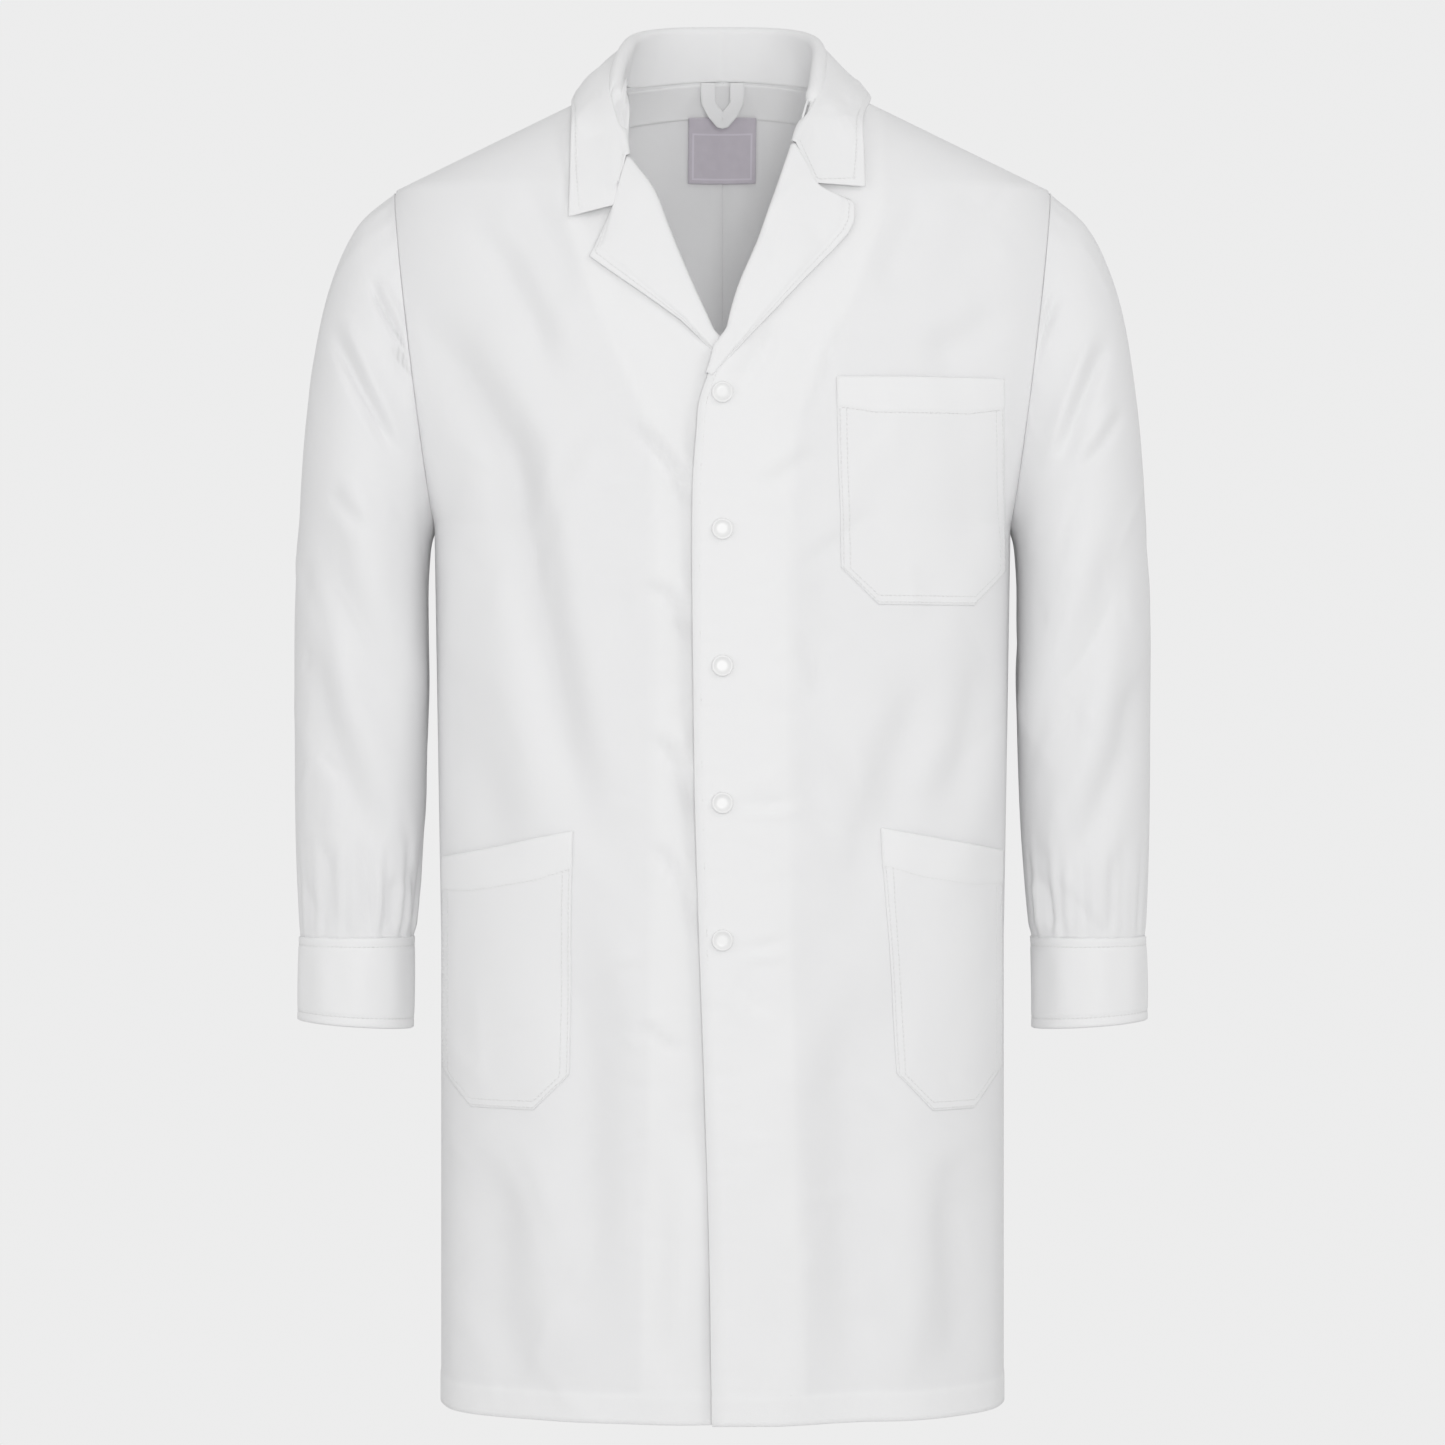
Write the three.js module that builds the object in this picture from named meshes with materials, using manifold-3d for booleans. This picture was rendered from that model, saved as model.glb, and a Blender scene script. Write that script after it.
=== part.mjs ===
// A white laboratory coat, size M, closed by five press studs, hanging as if worn.
// Millimetres, +Z up, the coat faces -Y and its wearer's left is +X.
// The origin is the centre-back neck seam, under the hanger loop.
import * as THREE from 'three';
import { mergeVertices } from 'three/addons/utils/BufferGeometryUtils.js';
import Module from 'manifold-3d';

const wasm = await Module();
wasm.setup();

// ---- driving dimensions ----
const COAT_LENGTH = 976;
const CHEST_HALF_WIDTH = 211;
const SKIRT_HALF_WIDTH = 206;
const SKIRT_START_Z = -640;
const SHOULDER_HALF_WIDTH = 240;
const SHOULDER_DROP = 92;
const NECK_HALF_WIDTH = 75;
const NECK_SIDE_DROP = 11;
const NECK_BACK_DEPTH = 62;
const ARMHOLE_HEIGHT = 246;
const ARMHOLE_HALF_DEPTH = 58;
const CHEST_HALF_DEPTH = 116;
const SKIRT_HALF_DEPTH = 124;
const SECTION_POWER = 2.5;

const CLOTH = 1;
const LAYER_GAP = 0.6;
const SEAM_GAP = 0.5;

const LAPEL_BREAK_Z = -213;
const GORGE = { x: 57, z: -68 };
const NOTCH = { x: 72, z: -102 };
const LAPEL_TIP = { x: 94, z: -137 };
const COLLAR_TIP = { x: 105, z: -111 };
const COLLAR_STAND = 36;
const COLLAR_FALL = 46;
const FOLD_RADIUS = 2.9;
const FOLD_ROOM = 5;
const COLLAR_FOLD_RADIUS = 4.8;

const OVERLAP = 19;
const FACING_WIDTH = 70;
const STUD_COUNT = 5;
const STUD_PITCH = 96.6;
const TOP_STUD_Z = -248;
const CAP_DIAMETER = 15.5;
const STUD_DIAMETER = 11;
const HOLE_DIAMETER = 4;

const CHEST_POCKET = { inner: 81, outer: 201, top: -236, slant: 0, bottom: -397, chamfer: 26 };
const HIP_POCKET = { inner: 112, outer: 203, top: -557, slant: -20, bottom: -757, chamfer: 27 };

const FLAP_TOP_Z = -662;
const FLAP_HINGE_X = 98;

const SLEEVE_LENGTH = 546;
const CUFF_HEIGHT = 60;
const CUFF_WIDTH = 82;
const CUFF_DEPTH = 76;
const UPPER_ARM_DEPTH = 148;
const SLEEVE_CLEARANCE = 4;
const SLEEVE_FLARE = 74;

const LOOP_WIDTH = 32.5;
const LOOP_TAPE = 10.5;
const LOOP_DROP = 35;
const LABEL = { width: 51, height: 41, drop: 28 };
const NECK_FACING = { halfWidth: 62, top: -14, bottom: -34 };

// ---- materials ----
const whiteCloth = new THREE.MeshStandardMaterial({ color: 0xf4f4f4, roughness: 0.9, metalness: 0 });
const whiteTape = new THREE.MeshStandardMaterial({ color: 0xf0f0f0, roughness: 0.8, metalness: 0 });
const labelCloth = new THREE.MeshStandardMaterial({ color: 0xb9b2bd, roughness: 0.7, metalness: 0 });
const whitePlastic = new THREE.MeshStandardMaterial({ color: 0xf6f6f6, roughness: 0.35, metalness: 0 });

const HEM_Z = -COAT_LENGTH;
const NECK_Z = -NECK_SIDE_DROP;
const SHOULDER_Z = -SHOULDER_DROP;
const ARMPIT_Z = SHOULDER_Z - ARMHOLE_HEIGHT;
const QUARTER = Math.PI / 2;
const LAYER = CLOTH + LAYER_GAP;

const { lerp, clamp, smoothstep } = THREE.MathUtils;

// ---- helpers for closed solids ----
// A geometry becomes one welded closed body whose faces point out.
function weld(geometry) {
  geometry.deleteAttribute('normal');
  geometry.deleteAttribute('uv');
  const welded = mergeVertices(geometry, 1e-4);
  const position = welded.attributes.position;
  const index = welded.index.array;
  const kept = [];
  let volume = 0;
  const a = new THREE.Vector3();
  const b = new THREE.Vector3();
  const c = new THREE.Vector3();
  for (let i = 0; i < index.length; i += 3) {
    const [p, q, r] = [index[i], index[i + 1], index[i + 2]];
    if (p === q || q === r || r === p) continue;
    kept.push(p, q, r);
    a.fromBufferAttribute(position, p);
    b.fromBufferAttribute(position, q);
    c.fromBufferAttribute(position, r);
    volume += a.dot(b.cross(c));
  }
  welded.setIndex(volume < 0 ? kept.reverse() : kept);
  return welded;
}

// A sheet of cloth: a box of columns by rows whose points are placed by (u, v, w).
// u and v run 0..1 over the sheet and w is the height above its middle.
function sheet(columns, rows, thickness, place) {
  const geometry = new THREE.BoxGeometry(1, 1, 1, columns, rows, 1);
  return warp(geometry, (p) => place(p.x + 0.5, p.y + 0.5, p.z * thickness));
}

// A tube of cloth: a closed ring of columns whose points are placed by (angle, v, w).
function tube(columns, rows, thickness, place) {
  const ringRadius = 2;
  const profile = [];
  for (let i = 0; i <= rows; i++) profile.push(new THREE.Vector2(ringRadius + 0.5, i / rows));
  for (let i = rows; i >= 0; i--) profile.push(new THREE.Vector2(ringRadius - 0.5, i / rows));
  profile.push(profile[0].clone());
  const geometry = new THREE.LatheGeometry(profile, columns);
  const across = (p) => (Math.hypot(p.x, p.z) - ringRadius) * thickness;
  return warp(geometry, (p) => place(Math.atan2(p.x, p.z), p.y, across(p)));
}

function warp(geometry, place) {
  geometry.deleteAttribute('normal');
  geometry.deleteAttribute('uv');
  const welded = mergeVertices(geometry, 1e-4);
  const position = welded.attributes.position;
  const point = new THREE.Vector3();
  for (let i = 0; i < position.count; i++) {
    const moved = place(point.fromBufferAttribute(position, i));
    position.setXYZ(i, moved.x, moved.y, moved.z);
  }
  return weld(welded);
}

function toSolid(geometry) {
  const vertProperties = new Float32Array(geometry.attributes.position.array);
  const triVerts = new Uint32Array(geometry.index.array);
  return new wasm.Manifold(new wasm.Mesh({ numProp: 3, vertProperties, triVerts }));
}

function toGeometry(solid) {
  const mesh = solid.getMesh();
  const geometry = new THREE.BufferGeometry();
  geometry.setAttribute('position', new THREE.BufferAttribute(mesh.vertProperties, 3));
  geometry.setIndex(new THREE.BufferAttribute(mesh.triVerts, 1));
  return geometry;
}

// A smooth value along z through [z, value] pairs listed from the top down.
function along(keys, z) {
  if (z >= keys[0][0]) return keys[0][1];
  for (let i = 0; i < keys.length - 1; i++) {
    const [z0, v0] = keys[i];
    const [z1, v1] = keys[i + 1];
    if (z < z1) continue;
    const span = z1 - z0;
    const before = i > 0 ? (v1 - keys[i - 1][1]) / (z1 - keys[i - 1][0]) : (v1 - v0) / span;
    const after = i < keys.length - 2 ? (keys[i + 2][1] - v0) / (keys[i + 2][0] - z0) : (v1 - v0) / span;
    const t = (z - z0) / span;
    const t2 = t * t;
    const t3 = t2 * t;
    return (2 * t3 - 3 * t2 + 1) * v0 + (t3 - 2 * t2 + t) * span * before
      + (3 * t2 - 2 * t3) * v1 + (t3 - t2) * span * after;
  }
  return keys[keys.length - 1][1];
}

// ---- the shape of the body of the coat ----
// Half depths in front and behind, from the neck down to the hem.
const FRONT_DEPTH = [
  [NECK_Z, 40], [-40, 57], [SHOULDER_Z, 80], [-160, 101], [LAPEL_BREAK_Z, 110],
  [ARMPIT_Z, CHEST_HALF_DEPTH], [SKIRT_START_Z, SKIRT_HALF_DEPTH], [HEM_Z, SKIRT_HALF_DEPTH],
];
const BACK_DEPTH = [
  [NECK_Z, NECK_BACK_DEPTH], [-40, 78], [SHOULDER_Z, 94], [-200, 108],
  [ARMPIT_Z, CHEST_HALF_DEPTH], [SKIRT_START_Z, SKIRT_HALF_DEPTH], [HEM_Z, SKIRT_HALF_DEPTH],
];

// Each armhole is an ellipse in a leaning plane, from the shoulder point to the armpit.
const ARMHOLE_MID_Z = (SHOULDER_Z + ARMPIT_Z) / 2;

function armholeX(z) {
  return lerp(SHOULDER_HALF_WIDTH, CHEST_HALF_WIDTH, (SHOULDER_Z - z) / ARMHOLE_HEIGHT);
}

function armholeY(z) {
  const across = (z - ARMHOLE_MID_Z) / (ARMHOLE_HEIGHT / 2);
  return ARMHOLE_HALF_DEPTH * Math.sqrt(Math.max(0, 1 - across * across));
}

// The half width at which a section of this half depth passes through the armhole's edge.
function halfWidth(z, halfDepth) {
  if (z >= SHOULDER_Z) {
    const t = (z - SHOULDER_Z) / (NECK_Z - SHOULDER_Z);
    return lerp(SHOULDER_HALF_WIDTH, NECK_HALF_WIDTH, t);
  }
  if (z >= ARMPIT_Z) {
    const share = 1 - Math.pow(armholeY(z) / halfDepth, SECTION_POWER);
    return armholeX(z) / Math.pow(share, 1 / SECTION_POWER);
  }
  return along([[ARMPIT_Z, CHEST_HALF_WIDTH], [SKIRT_START_Z, SKIRT_HALF_WIDTH]], z);
}

// A point on the body: angle 0 is the centre front, +90 degrees the wearer's left side.
function bodySurface(angle, z) {
  const sine = Math.sin(angle);
  const cosine = Math.cos(angle);
  const depth = along(cosine >= 0 ? FRONT_DEPTH : BACK_DEPTH, z);
  const width = halfWidth(z, depth);
  const power = 2 / SECTION_POWER;
  const x = Math.sign(sine) * width * Math.pow(Math.abs(sine), power);
  const y = -Math.sign(cosine) * depth * Math.pow(Math.abs(cosine), power);
  return new THREE.Vector3(x, y, z);
}

function bodyPoint(angle, z, offset) {
  const turn = 0.02;
  const rise = 2;
  const around = bodySurface(angle + turn, z).sub(bodySurface(angle - turn, z));
  const up = bodySurface(angle, z + rise).sub(bodySurface(angle, z - rise));
  const normal = around.cross(up).normalize();
  return bodySurface(angle, z).addScaledVector(normal, offset);
}

function angleAtX(x, z) {
  const width = halfWidth(z, along(FRONT_DEPTH, z));
  const share = clamp(Math.pow(Math.abs(x) / width, SECTION_POWER / 2), 0, 1);
  return Math.sign(x) * Math.asin(share);
}

// The angle at which the section is a small distance y from the side line.
function angleNearSide(y, z, keys) {
  return Math.acos(Math.pow(y / along(keys, z), SECTION_POWER / 2));
}

// ---- the front edges, the fold of the lapels and the layers that lie over each other ----
// Levels of the stacked layers at the overlap, outwards from the right front.
const STUD_PLATE = CLOTH / 2 + 0.3;
const STUD_HEAD_TOP = STUD_PLATE + 2.9;
const SOCKET_BASE = STUD_PLATE + 1.2;
const SOCKET_TOP = STUD_HEAD_TOP + 1.1;
const LEFT_FACING_LEVEL = SOCKET_TOP + 0.3 + CLOTH / 2;
const LEFT_FRONT_LEVEL = LEFT_FACING_LEVEL + LAYER;
const CAP_BASE = LEFT_FRONT_LEVEL + CLOTH / 2 + 0.3;

// The left front rises over the right one near the centre and settles down beside it.
const SETTLE_X = 78;
function liftOf(side, x) {
  if (side < 0) return 0;
  return LEFT_FRONT_LEVEL * (1 - smoothstep(x, OVERLAP + 8, SETTLE_X));
}

const ROLL_LINE = [[GORGE.z, GORGE.x], [-100, 45], [-160, 22], [LAPEL_BREAK_Z, 0]];
const FRONT_EDGE = [
  [LAPEL_BREAK_Z, -2], [TOP_STUD_Z + 8, -11], [TOP_STUD_Z - 20, -OVERLAP], [SKIRT_START_Z, -OVERLAP],
  [HEM_Z, -OVERLAP],
];

// x of a front's inner edge, counted from the centre towards its own side.
function innerEdge(z) {
  if (z > GORGE.z) return lerp(GORGE.x + FOLD_ROOM, NECK_HALF_WIDTH - FOLD_ROOM, (z - GORGE.z) / (NECK_Z - GORGE.z));
  if (z > LAPEL_BREAK_Z) return along(ROLL_LINE, z) + FOLD_ROOM;
  return along(FRONT_EDGE, z);
}

// A point on a front panel's surface; x counts from the centre towards its own side.
function frontPoint(side, x, z, offset) {
  const point = bodyPoint(angleAtX(x, z), z, offset + liftOf(side, x));
  point.x *= side;
  return point;
}

// ---- panels ----
const PANEL_ROWS = [];
for (let i = 0; i < 5; i++) PANEL_ROWS.push(lerp(HEM_Z, SKIRT_START_Z, i / 5));
for (let i = 0; i < 4; i++) PANEL_ROWS.push(lerp(SKIRT_START_Z, ARMPIT_Z, i / 4));
for (let i = 0; i < 9; i++) PANEL_ROWS.push(lerp(ARMPIT_Z, SHOULDER_Z, i / 9));
for (let i = 0; i <= 4; i++) PANEL_ROWS.push(lerp(SHOULDER_Z, NECK_Z, i / 4));

function panelRow(v) {
  const at = v * (PANEL_ROWS.length - 1);
  const row = Math.min(Math.floor(at), PANEL_ROWS.length - 2);
  return lerp(PANEL_ROWS[row], PANEL_ROWS[row + 1], at - row);
}

// The angle of a panel's outer edge: side seam, armhole, then shoulder seam.
function outerAngle(z, keys) {
  const atSeam = angleNearSide(SEAM_GAP / 2, z, keys);
  if (z >= SHOULDER_Z || z <= ARMPIT_Z) return atSeam;
  return Math.min(atSeam, angleNearSide(Math.max(armholeY(z), SEAM_GAP / 2), z, keys));
}

// Below the lapel a front's first columns lie over the columns of its facing.
const FACING_COLUMNS = 7;
const FRONT_COLUMNS = 15;
function frontAngle(u, z) {
  const inner = angleAtX(innerEdge(z), z);
  const outer = outerAngle(z, FRONT_DEPTH);
  const even = lerp(inner, outer, u);
  const column = u * FRONT_COLUMNS;
  const facingEdge = angleAtX(innerEdge(z) + FACING_WIDTH, z);
  const beyond = (column - FACING_COLUMNS) / (FRONT_COLUMNS - FACING_COLUMNS);
  const matched = column <= FACING_COLUMNS
    ? angleAtX(innerEdge(z) + FACING_WIDTH * column / FACING_COLUMNS, z)
    : lerp(facingEdge, outer, beyond);
  return lerp(matched, even, smoothstep(z, LAPEL_BREAK_Z + 30, SHOULDER_Z));
}

function frontPanel(side) {
  return sheet(FRONT_COLUMNS, PANEL_ROWS.length - 1, CLOTH, (u, v, w) => {
    const z = panelRow(v);
    const angle = frontAngle(u, z);
    const x = bodySurface(angle, z).x;
    const point = bodyPoint(angle, z, w + liftOf(side, x));
    point.x *= side;
    return point;
  });
}

// The back neckline rises from the side of the neck to the neck seam.
function backPoint(side, angle, z, offset) {
  const point = bodyPoint(Math.PI - angle, z, offset);
  const rise = smoothstep(z, SHOULDER_Z, NECK_Z) * NECK_SIDE_DROP;
  const inward = clamp(1 - Math.pow(point.x / NECK_HALF_WIDTH, 2), 0, 1);
  point.z += rise * inward;
  point.x *= side;
  return point;
}

function backPanel(side) {
  const columns = 11;
  return sheet(columns, PANEL_ROWS.length - 1, CLOTH, (u, v, w) => {
    const z = panelRow(v);
    const width = halfWidth(z, along(BACK_DEPTH, z));
    const inner = Math.asin(Math.pow(SEAM_GAP / 2 / width, SECTION_POWER / 2));
    return backPoint(side, lerp(inner, outerAngle(z, BACK_DEPTH), u), z, w);
  });
}

// A facing lies inside its front, from the front edge to an inner edge.
function facing(side, bottom, top) {
  const levels = PANEL_ROWS.filter((z) => z > bottom + 5 && z < top - 5);
  const rows = [bottom, ...levels, top];
  return sheet(FACING_COLUMNS, rows.length - 1, CLOTH, (u, v, w) => {
    const z = rows[Math.round(v * (rows.length - 1))];
    return frontPoint(side, innerEdge(z) + u * FACING_WIDTH, z, w - LAYER);
  });
}

// A lapel is the facing's top: it runs up inside the front, turns round the fold
// and lies back on the chest, out to the lapel's outline.
const LAPEL_LEVEL = 2 * FOLD_RADIUS - LAYER;
const GORGE_GAP = 1.6;
const LAPEL_BOTTOM = { x: 9, z: LAPEL_BREAK_Z - 1 };

function lapelOutline(s) {
  const corner = 0.82;
  if (s > corner) {
    const t = (s - corner) / (1 - corner);
    return { x: lerp(LAPEL_TIP.x, NOTCH.x, t), z: lerp(LAPEL_TIP.z, NOTCH.z - GORGE_GAP, t) };
  }
  const t = s / corner;
  return { x: lerp(LAPEL_BOTTOM.x, LAPEL_TIP.x, t), z: lerp(LAPEL_BOTTOM.z, LAPEL_TIP.z, t) };
}

function lapel(side) {
  const insideEnd = 0.35;
  const foldEnd = 0.6;
  const bottom = LAPEL_BREAK_Z + 4;
  const top = GORGE.z - 5;
  return sheet(12, 9, CLOTH, (u, v, w) => {
    const z = lerp(bottom, top, v);
    const foldX = along(ROLL_LINE, z) + FOLD_ROOM - 1.7;
    if (u <= insideEnd) {
      const x = lerp(foldX + FACING_WIDTH * 0.6, foldX, u / insideEnd);
      return frontPoint(side, x, z, -LAYER - w);
    }
    if (u < foldEnd) {
      const turn = Math.PI * (u - insideEnd) / (foldEnd - insideEnd);
      const radius = FOLD_RADIUS + w;
      const level = LAPEL_LEVEL - FOLD_RADIUS - radius * Math.cos(turn);
      return frontPoint(side, foldX - radius * Math.sin(turn), z, level);
    }
    const t = (u - foldEnd) / (1 - foldEnd);
    const edge = lapelOutline(v);
    return frontPoint(side, lerp(foldX, edge.x, t), lerp(z, edge.z, t), LAPEL_LEVEL + w);
  });
}

// ---- collar ----
// Stations run from the centre back (0) to the front end at the gorge (1).
const COLLAR_LEVEL = LAPEL_LEVEL;
const shoulderNeck = new THREE.Vector3(NECK_HALF_WIDTH, 0, NECK_Z);

function curveThrough(points) {
  return new THREE.CatmullRomCurve3(points, false, 'centripetal');
}

function collarCurves(side) {
  const edgeAtFront = (z) => frontPoint(side, innerEdge(z), z, 0).setX(innerEdge(z) - FOLD_ROOM * 0.5);
  const unsided = (p) => p.setX(Math.abs(p.x));
  const base = curveThrough([
    new THREE.Vector3(0, NECK_BACK_DEPTH + 0.6, 1.4),
    new THREE.Vector3(38, NECK_BACK_DEPTH - 6, -0.4),
    new THREE.Vector3(62, NECK_BACK_DEPTH * 0.56, -4),
    shoulderNeck.clone().add(new THREE.Vector3(-4, 4, 1.5)),
    edgeAtFront(lerp(NECK_Z, GORGE.z, 0.35)),
    edgeAtFront(lerp(NECK_Z, GORGE.z, 0.7)),
    edgeAtFront(GORGE.z + 5),
  ]);
  const roll = curveThrough([
    new THREE.Vector3(0, NECK_BACK_DEPTH - 3, COLLAR_STAND),
    new THREE.Vector3(36, NECK_BACK_DEPTH - 10, COLLAR_STAND - 3),
    new THREE.Vector3(57, NECK_BACK_DEPTH * 0.5, COLLAR_STAND - 10),
    new THREE.Vector3(64, 4, COLLAR_STAND - 22),
    new THREE.Vector3(66, -24, -6),
    new THREE.Vector3(64, -48, -34),
    unsided(frontPoint(side, GORGE.x, GORGE.z + 2, 1.5)),
  ]);
  const fallAt = (degrees, z) => unsided(backPoint(1, Math.PI - degrees * Math.PI / 180, z, 7));
  const edge = curveThrough([
    fallAt(180, COLLAR_STAND - COLLAR_FALL - 12),
    fallAt(150, COLLAR_STAND - COLLAR_FALL - 13),
    fallAt(122, COLLAR_STAND - COLLAR_FALL - 15),
    fallAt(92, COLLAR_STAND - COLLAR_FALL - 16),
    unsided(frontPoint(side, 105, -50, COLLAR_LEVEL + 4)),
    unsided(frontPoint(side, 106, -78, COLLAR_LEVEL)),
    unsided(frontPoint(side, COLLAR_TIP.x, COLLAR_TIP.z, COLLAR_LEVEL)),
  ]);
  const notch = unsided(frontPoint(side, NOTCH.x, NOTCH.z + SEAM_GAP, COLLAR_LEVEL));
  return { base, roll, edge, notch };
}

// Half the collar as points (s along, t across): stand, turned fold, leaf.
function collarPoint(curves, s, t) {
  const base = curves.base.getPointAt(s);
  const roll = curves.roll.getPointAt(s);
  const edge = curves.edge.getPointAt(s);
  const standEnd = 0.25;
  const foldEnd = 0.5;
  const out = new THREE.Vector3(edge.x - roll.x, edge.y - roll.y, 0).normalize();
  out.lerp(new THREE.Vector3(0, -1, 0), smoothstep(s, 0.6, 1)).normalize();
  const standTop = roll.clone();
  const up = standTop.clone().sub(base);
  up.addScaledVector(out, -up.dot(out)).normalize();
  const toNeck = new THREE.Vector3(-0.94, 0, 0.34);
  up.lerp(toNeck, smoothstep(s, 0.75, 1)).normalize();
  if (t <= standEnd) return base.lerp(standTop, t / standEnd);
  const radius = COLLAR_FOLD_RADIUS;
  const centre = standTop.clone().addScaledVector(out, radius);
  if (t < foldEnd) {
    const turn = Math.PI * (t - standEnd) / (foldEnd - standEnd);
    return centre.addScaledVector(out, -radius * Math.cos(turn)).addScaledVector(up, radius * Math.sin(turn));
  }
  const leafStart = centre.addScaledVector(out, radius);
  const share = (t - foldEnd) / (1 - foldEnd);
  const middle = leafStart.clone().lerp(edge, 0.5).addScaledVector(out, 4 * (1 - smoothstep(s, 0.5, 0.9)));
  middle.lerp(curves.notch, smoothstep(s, 0.88, 1));
  if (share <= 0.5) return leafStart.lerp(middle, share * 2);
  return middle.lerp(edge, share * 2 - 1);
}

const RIGHT_COLLAR = collarCurves(-1);
const LEFT_COLLAR = collarCurves(1);

function collarSurface(u, t) {
  const s = Math.abs(2 * u - 1);
  const side = u < 0.5 ? -1 : 1;
  const point = collarPoint(side < 0 ? RIGHT_COLLAR : LEFT_COLLAR, s, t);
  point.x *= side;
  return point;
}

function collarLayer(columns, offset, endMargin, baseMargin, edgeMargin) {
  const step = 0.012;
  return sheet(columns, 12, CLOTH, (u, v, w) => {
    const a = lerp(endMargin, 1 - endMargin, u);
    const t = lerp(baseMargin, 1 - edgeMargin, v);
    const along1 = collarSurface(Math.min(a + step, 1), t).sub(collarSurface(Math.max(a - step, 0), t));
    const across = collarSurface(a, Math.min(t + step, 1)).sub(collarSurface(a, Math.max(t - step, 0)));
    const normal = along1.cross(across).normalize();
    return collarSurface(a, t).addScaledVector(normal, offset + w);
  });
}

// ---- sleeves and cuffs ----
const WRIST_Z = SHOULDER_Z - SLEEVE_LENGTH;
const CUFF_OUTER_X = SHOULDER_HALF_WIDTH + SLEEVE_FLARE - 4;
const CUFF_INNER_X = CUFF_OUTER_X - CUFF_WIDTH;
const SLEEVE_INNER_X = CHEST_HALF_WIDTH + SLEEVE_CLEARANCE;

// Sections of a sleeve: share of its length, outer and inner points, half depth.
function sleeveSections() {
  const outerX = (share) => SHOULDER_HALF_WIDTH + SLEEVE_FLARE * share;
  const outerZ = (share) => lerp(SHOULDER_Z, WRIST_Z, share);
  const armpit = ARMPIT_Z;
  return [
    { x1: SHOULDER_HALF_WIDTH, z1: SHOULDER_Z, x0: CHEST_HALF_WIDTH, z0: armpit, depth: ARMHOLE_HALF_DEPTH },
    { x1: outerX(0.4), z1: outerZ(0.05), x0: SLEEVE_INNER_X, z0: armpit - 12, depth: 66 },
    { x1: outerX(0.7), z1: outerZ(0.15), x0: SLEEVE_INNER_X + 1, z0: armpit - 26, depth: 71 },
    { x1: outerX(0.87), z1: outerZ(0.29), x0: SLEEVE_INNER_X + 2, z0: armpit - 46, depth: UPPER_ARM_DEPTH / 2 },
    { x1: outerX(0.95), z1: outerZ(0.43), x0: SLEEVE_INNER_X + 2, z0: armpit - 76, depth: UPPER_ARM_DEPTH / 2 },
    { x1: outerX(1), z1: outerZ(0.58), x0: SLEEVE_INNER_X + 2, z0: armpit - 120, depth: UPPER_ARM_DEPTH / 2 - 6 },
    { x1: outerX(1), z1: outerZ(0.73), x0: SLEEVE_INNER_X + 3, z0: outerZ(0.77), depth: UPPER_ARM_DEPTH / 2 - 14 },
    { x1: outerX(0.99), z1: outerZ(0.87), x0: SLEEVE_INNER_X + 6, z0: outerZ(0.88), depth: UPPER_ARM_DEPTH / 2 - 24 },
    { x1: CUFF_OUTER_X, z1: WRIST_Z, x0: CUFF_INNER_X, z0: WRIST_Z, depth: CUFF_DEPTH / 2 },
  ];
}
const SLEEVE_SECTIONS = sleeveSections();

function ringPoint(section, angle, w) {
  const outer = new THREE.Vector3(section.x1, 0, section.z1);
  const inner = new THREE.Vector3(section.x0, 0, section.z0);
  const half = outer.clone().sub(inner).multiplyScalar(0.5);
  const centre = inner.add(half);
  const reach = half.length() + w;
  centre.addScaledVector(half.normalize(), reach * Math.cos(angle));
  centre.y -= (section.depth + w) * Math.sin(angle);
  return centre;
}

function sleeve(side) {
  const rows = SLEEVE_SECTIONS.length - 1;
  const seam = SEAM_GAP + CLOTH * 0.25;
  return tube(26, rows, CLOTH, (angle, v, w) => {
    const point = ringPoint(SLEEVE_SECTIONS[Math.round(v * rows)], angle, w);
    if (v === 0) point.x += seam;
    point.x *= side;
    return point;
  });
}

function cuff(side) {
  const wrist = SLEEVE_SECTIONS[SLEEVE_SECTIONS.length - 1];
  return tube(26, 1, 2 * CLOTH + LAYER_GAP, (angle, v, w) => {
    const top = { ...wrist, z1: wrist.z1 - SEAM_GAP, z0: wrist.z0 - SEAM_GAP };
    const bottom = { ...top, z1: top.z1 - CUFF_HEIGHT, z0: top.z0 - CUFF_HEIGHT - 6, x1: top.x1 + 1, x0: top.x0 + 1 };
    const point = ringPoint(v === 0 ? top : bottom, angle, w);
    point.x *= side;
    return point;
  });
}

// ---- pockets: flat patches with two lower corners cut off and the top left open ----
function pocket(side, size) {
  const middle = (size.top + size.bottom) / 2;
  const stops = [size.inner, size.inner + size.chamfer, size.outer - size.chamfer, size.outer];
  const first = angleAtX(size.inner, middle);
  const last = angleAtX(size.outer, middle);
  const across = 10;
  for (let i = 1; i < across; i++) {
    const x = bodySurface(lerp(first, last, i / across), middle).x;
    if (stops.every((stop) => Math.abs(stop - x) > 3)) stops.push(x);
  }
  stops.sort((a, b) => a - b);
  const columns = stops.length - 1;
  return sheet(columns, 5, CLOTH, (u, v, w) => {
    const x = stops[Math.round(u * columns)];
    const cornerCut = Math.max(0, size.inner + size.chamfer - x, x - (size.outer - size.chamfer));
    const topZ = size.top + size.slant * (x - size.inner) / (size.outer - size.inner);
    const z = lerp(size.bottom + cornerCut, topZ, v);
    return frontPoint(side, x, z, w + LAYER + 0.3);
  });
}

// ---- press studs: cap and socket on the left front, stud and post on the right ----
const PIN_RADIUS = 1.5;
const HEAD_RADIUS = 2.9;

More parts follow.
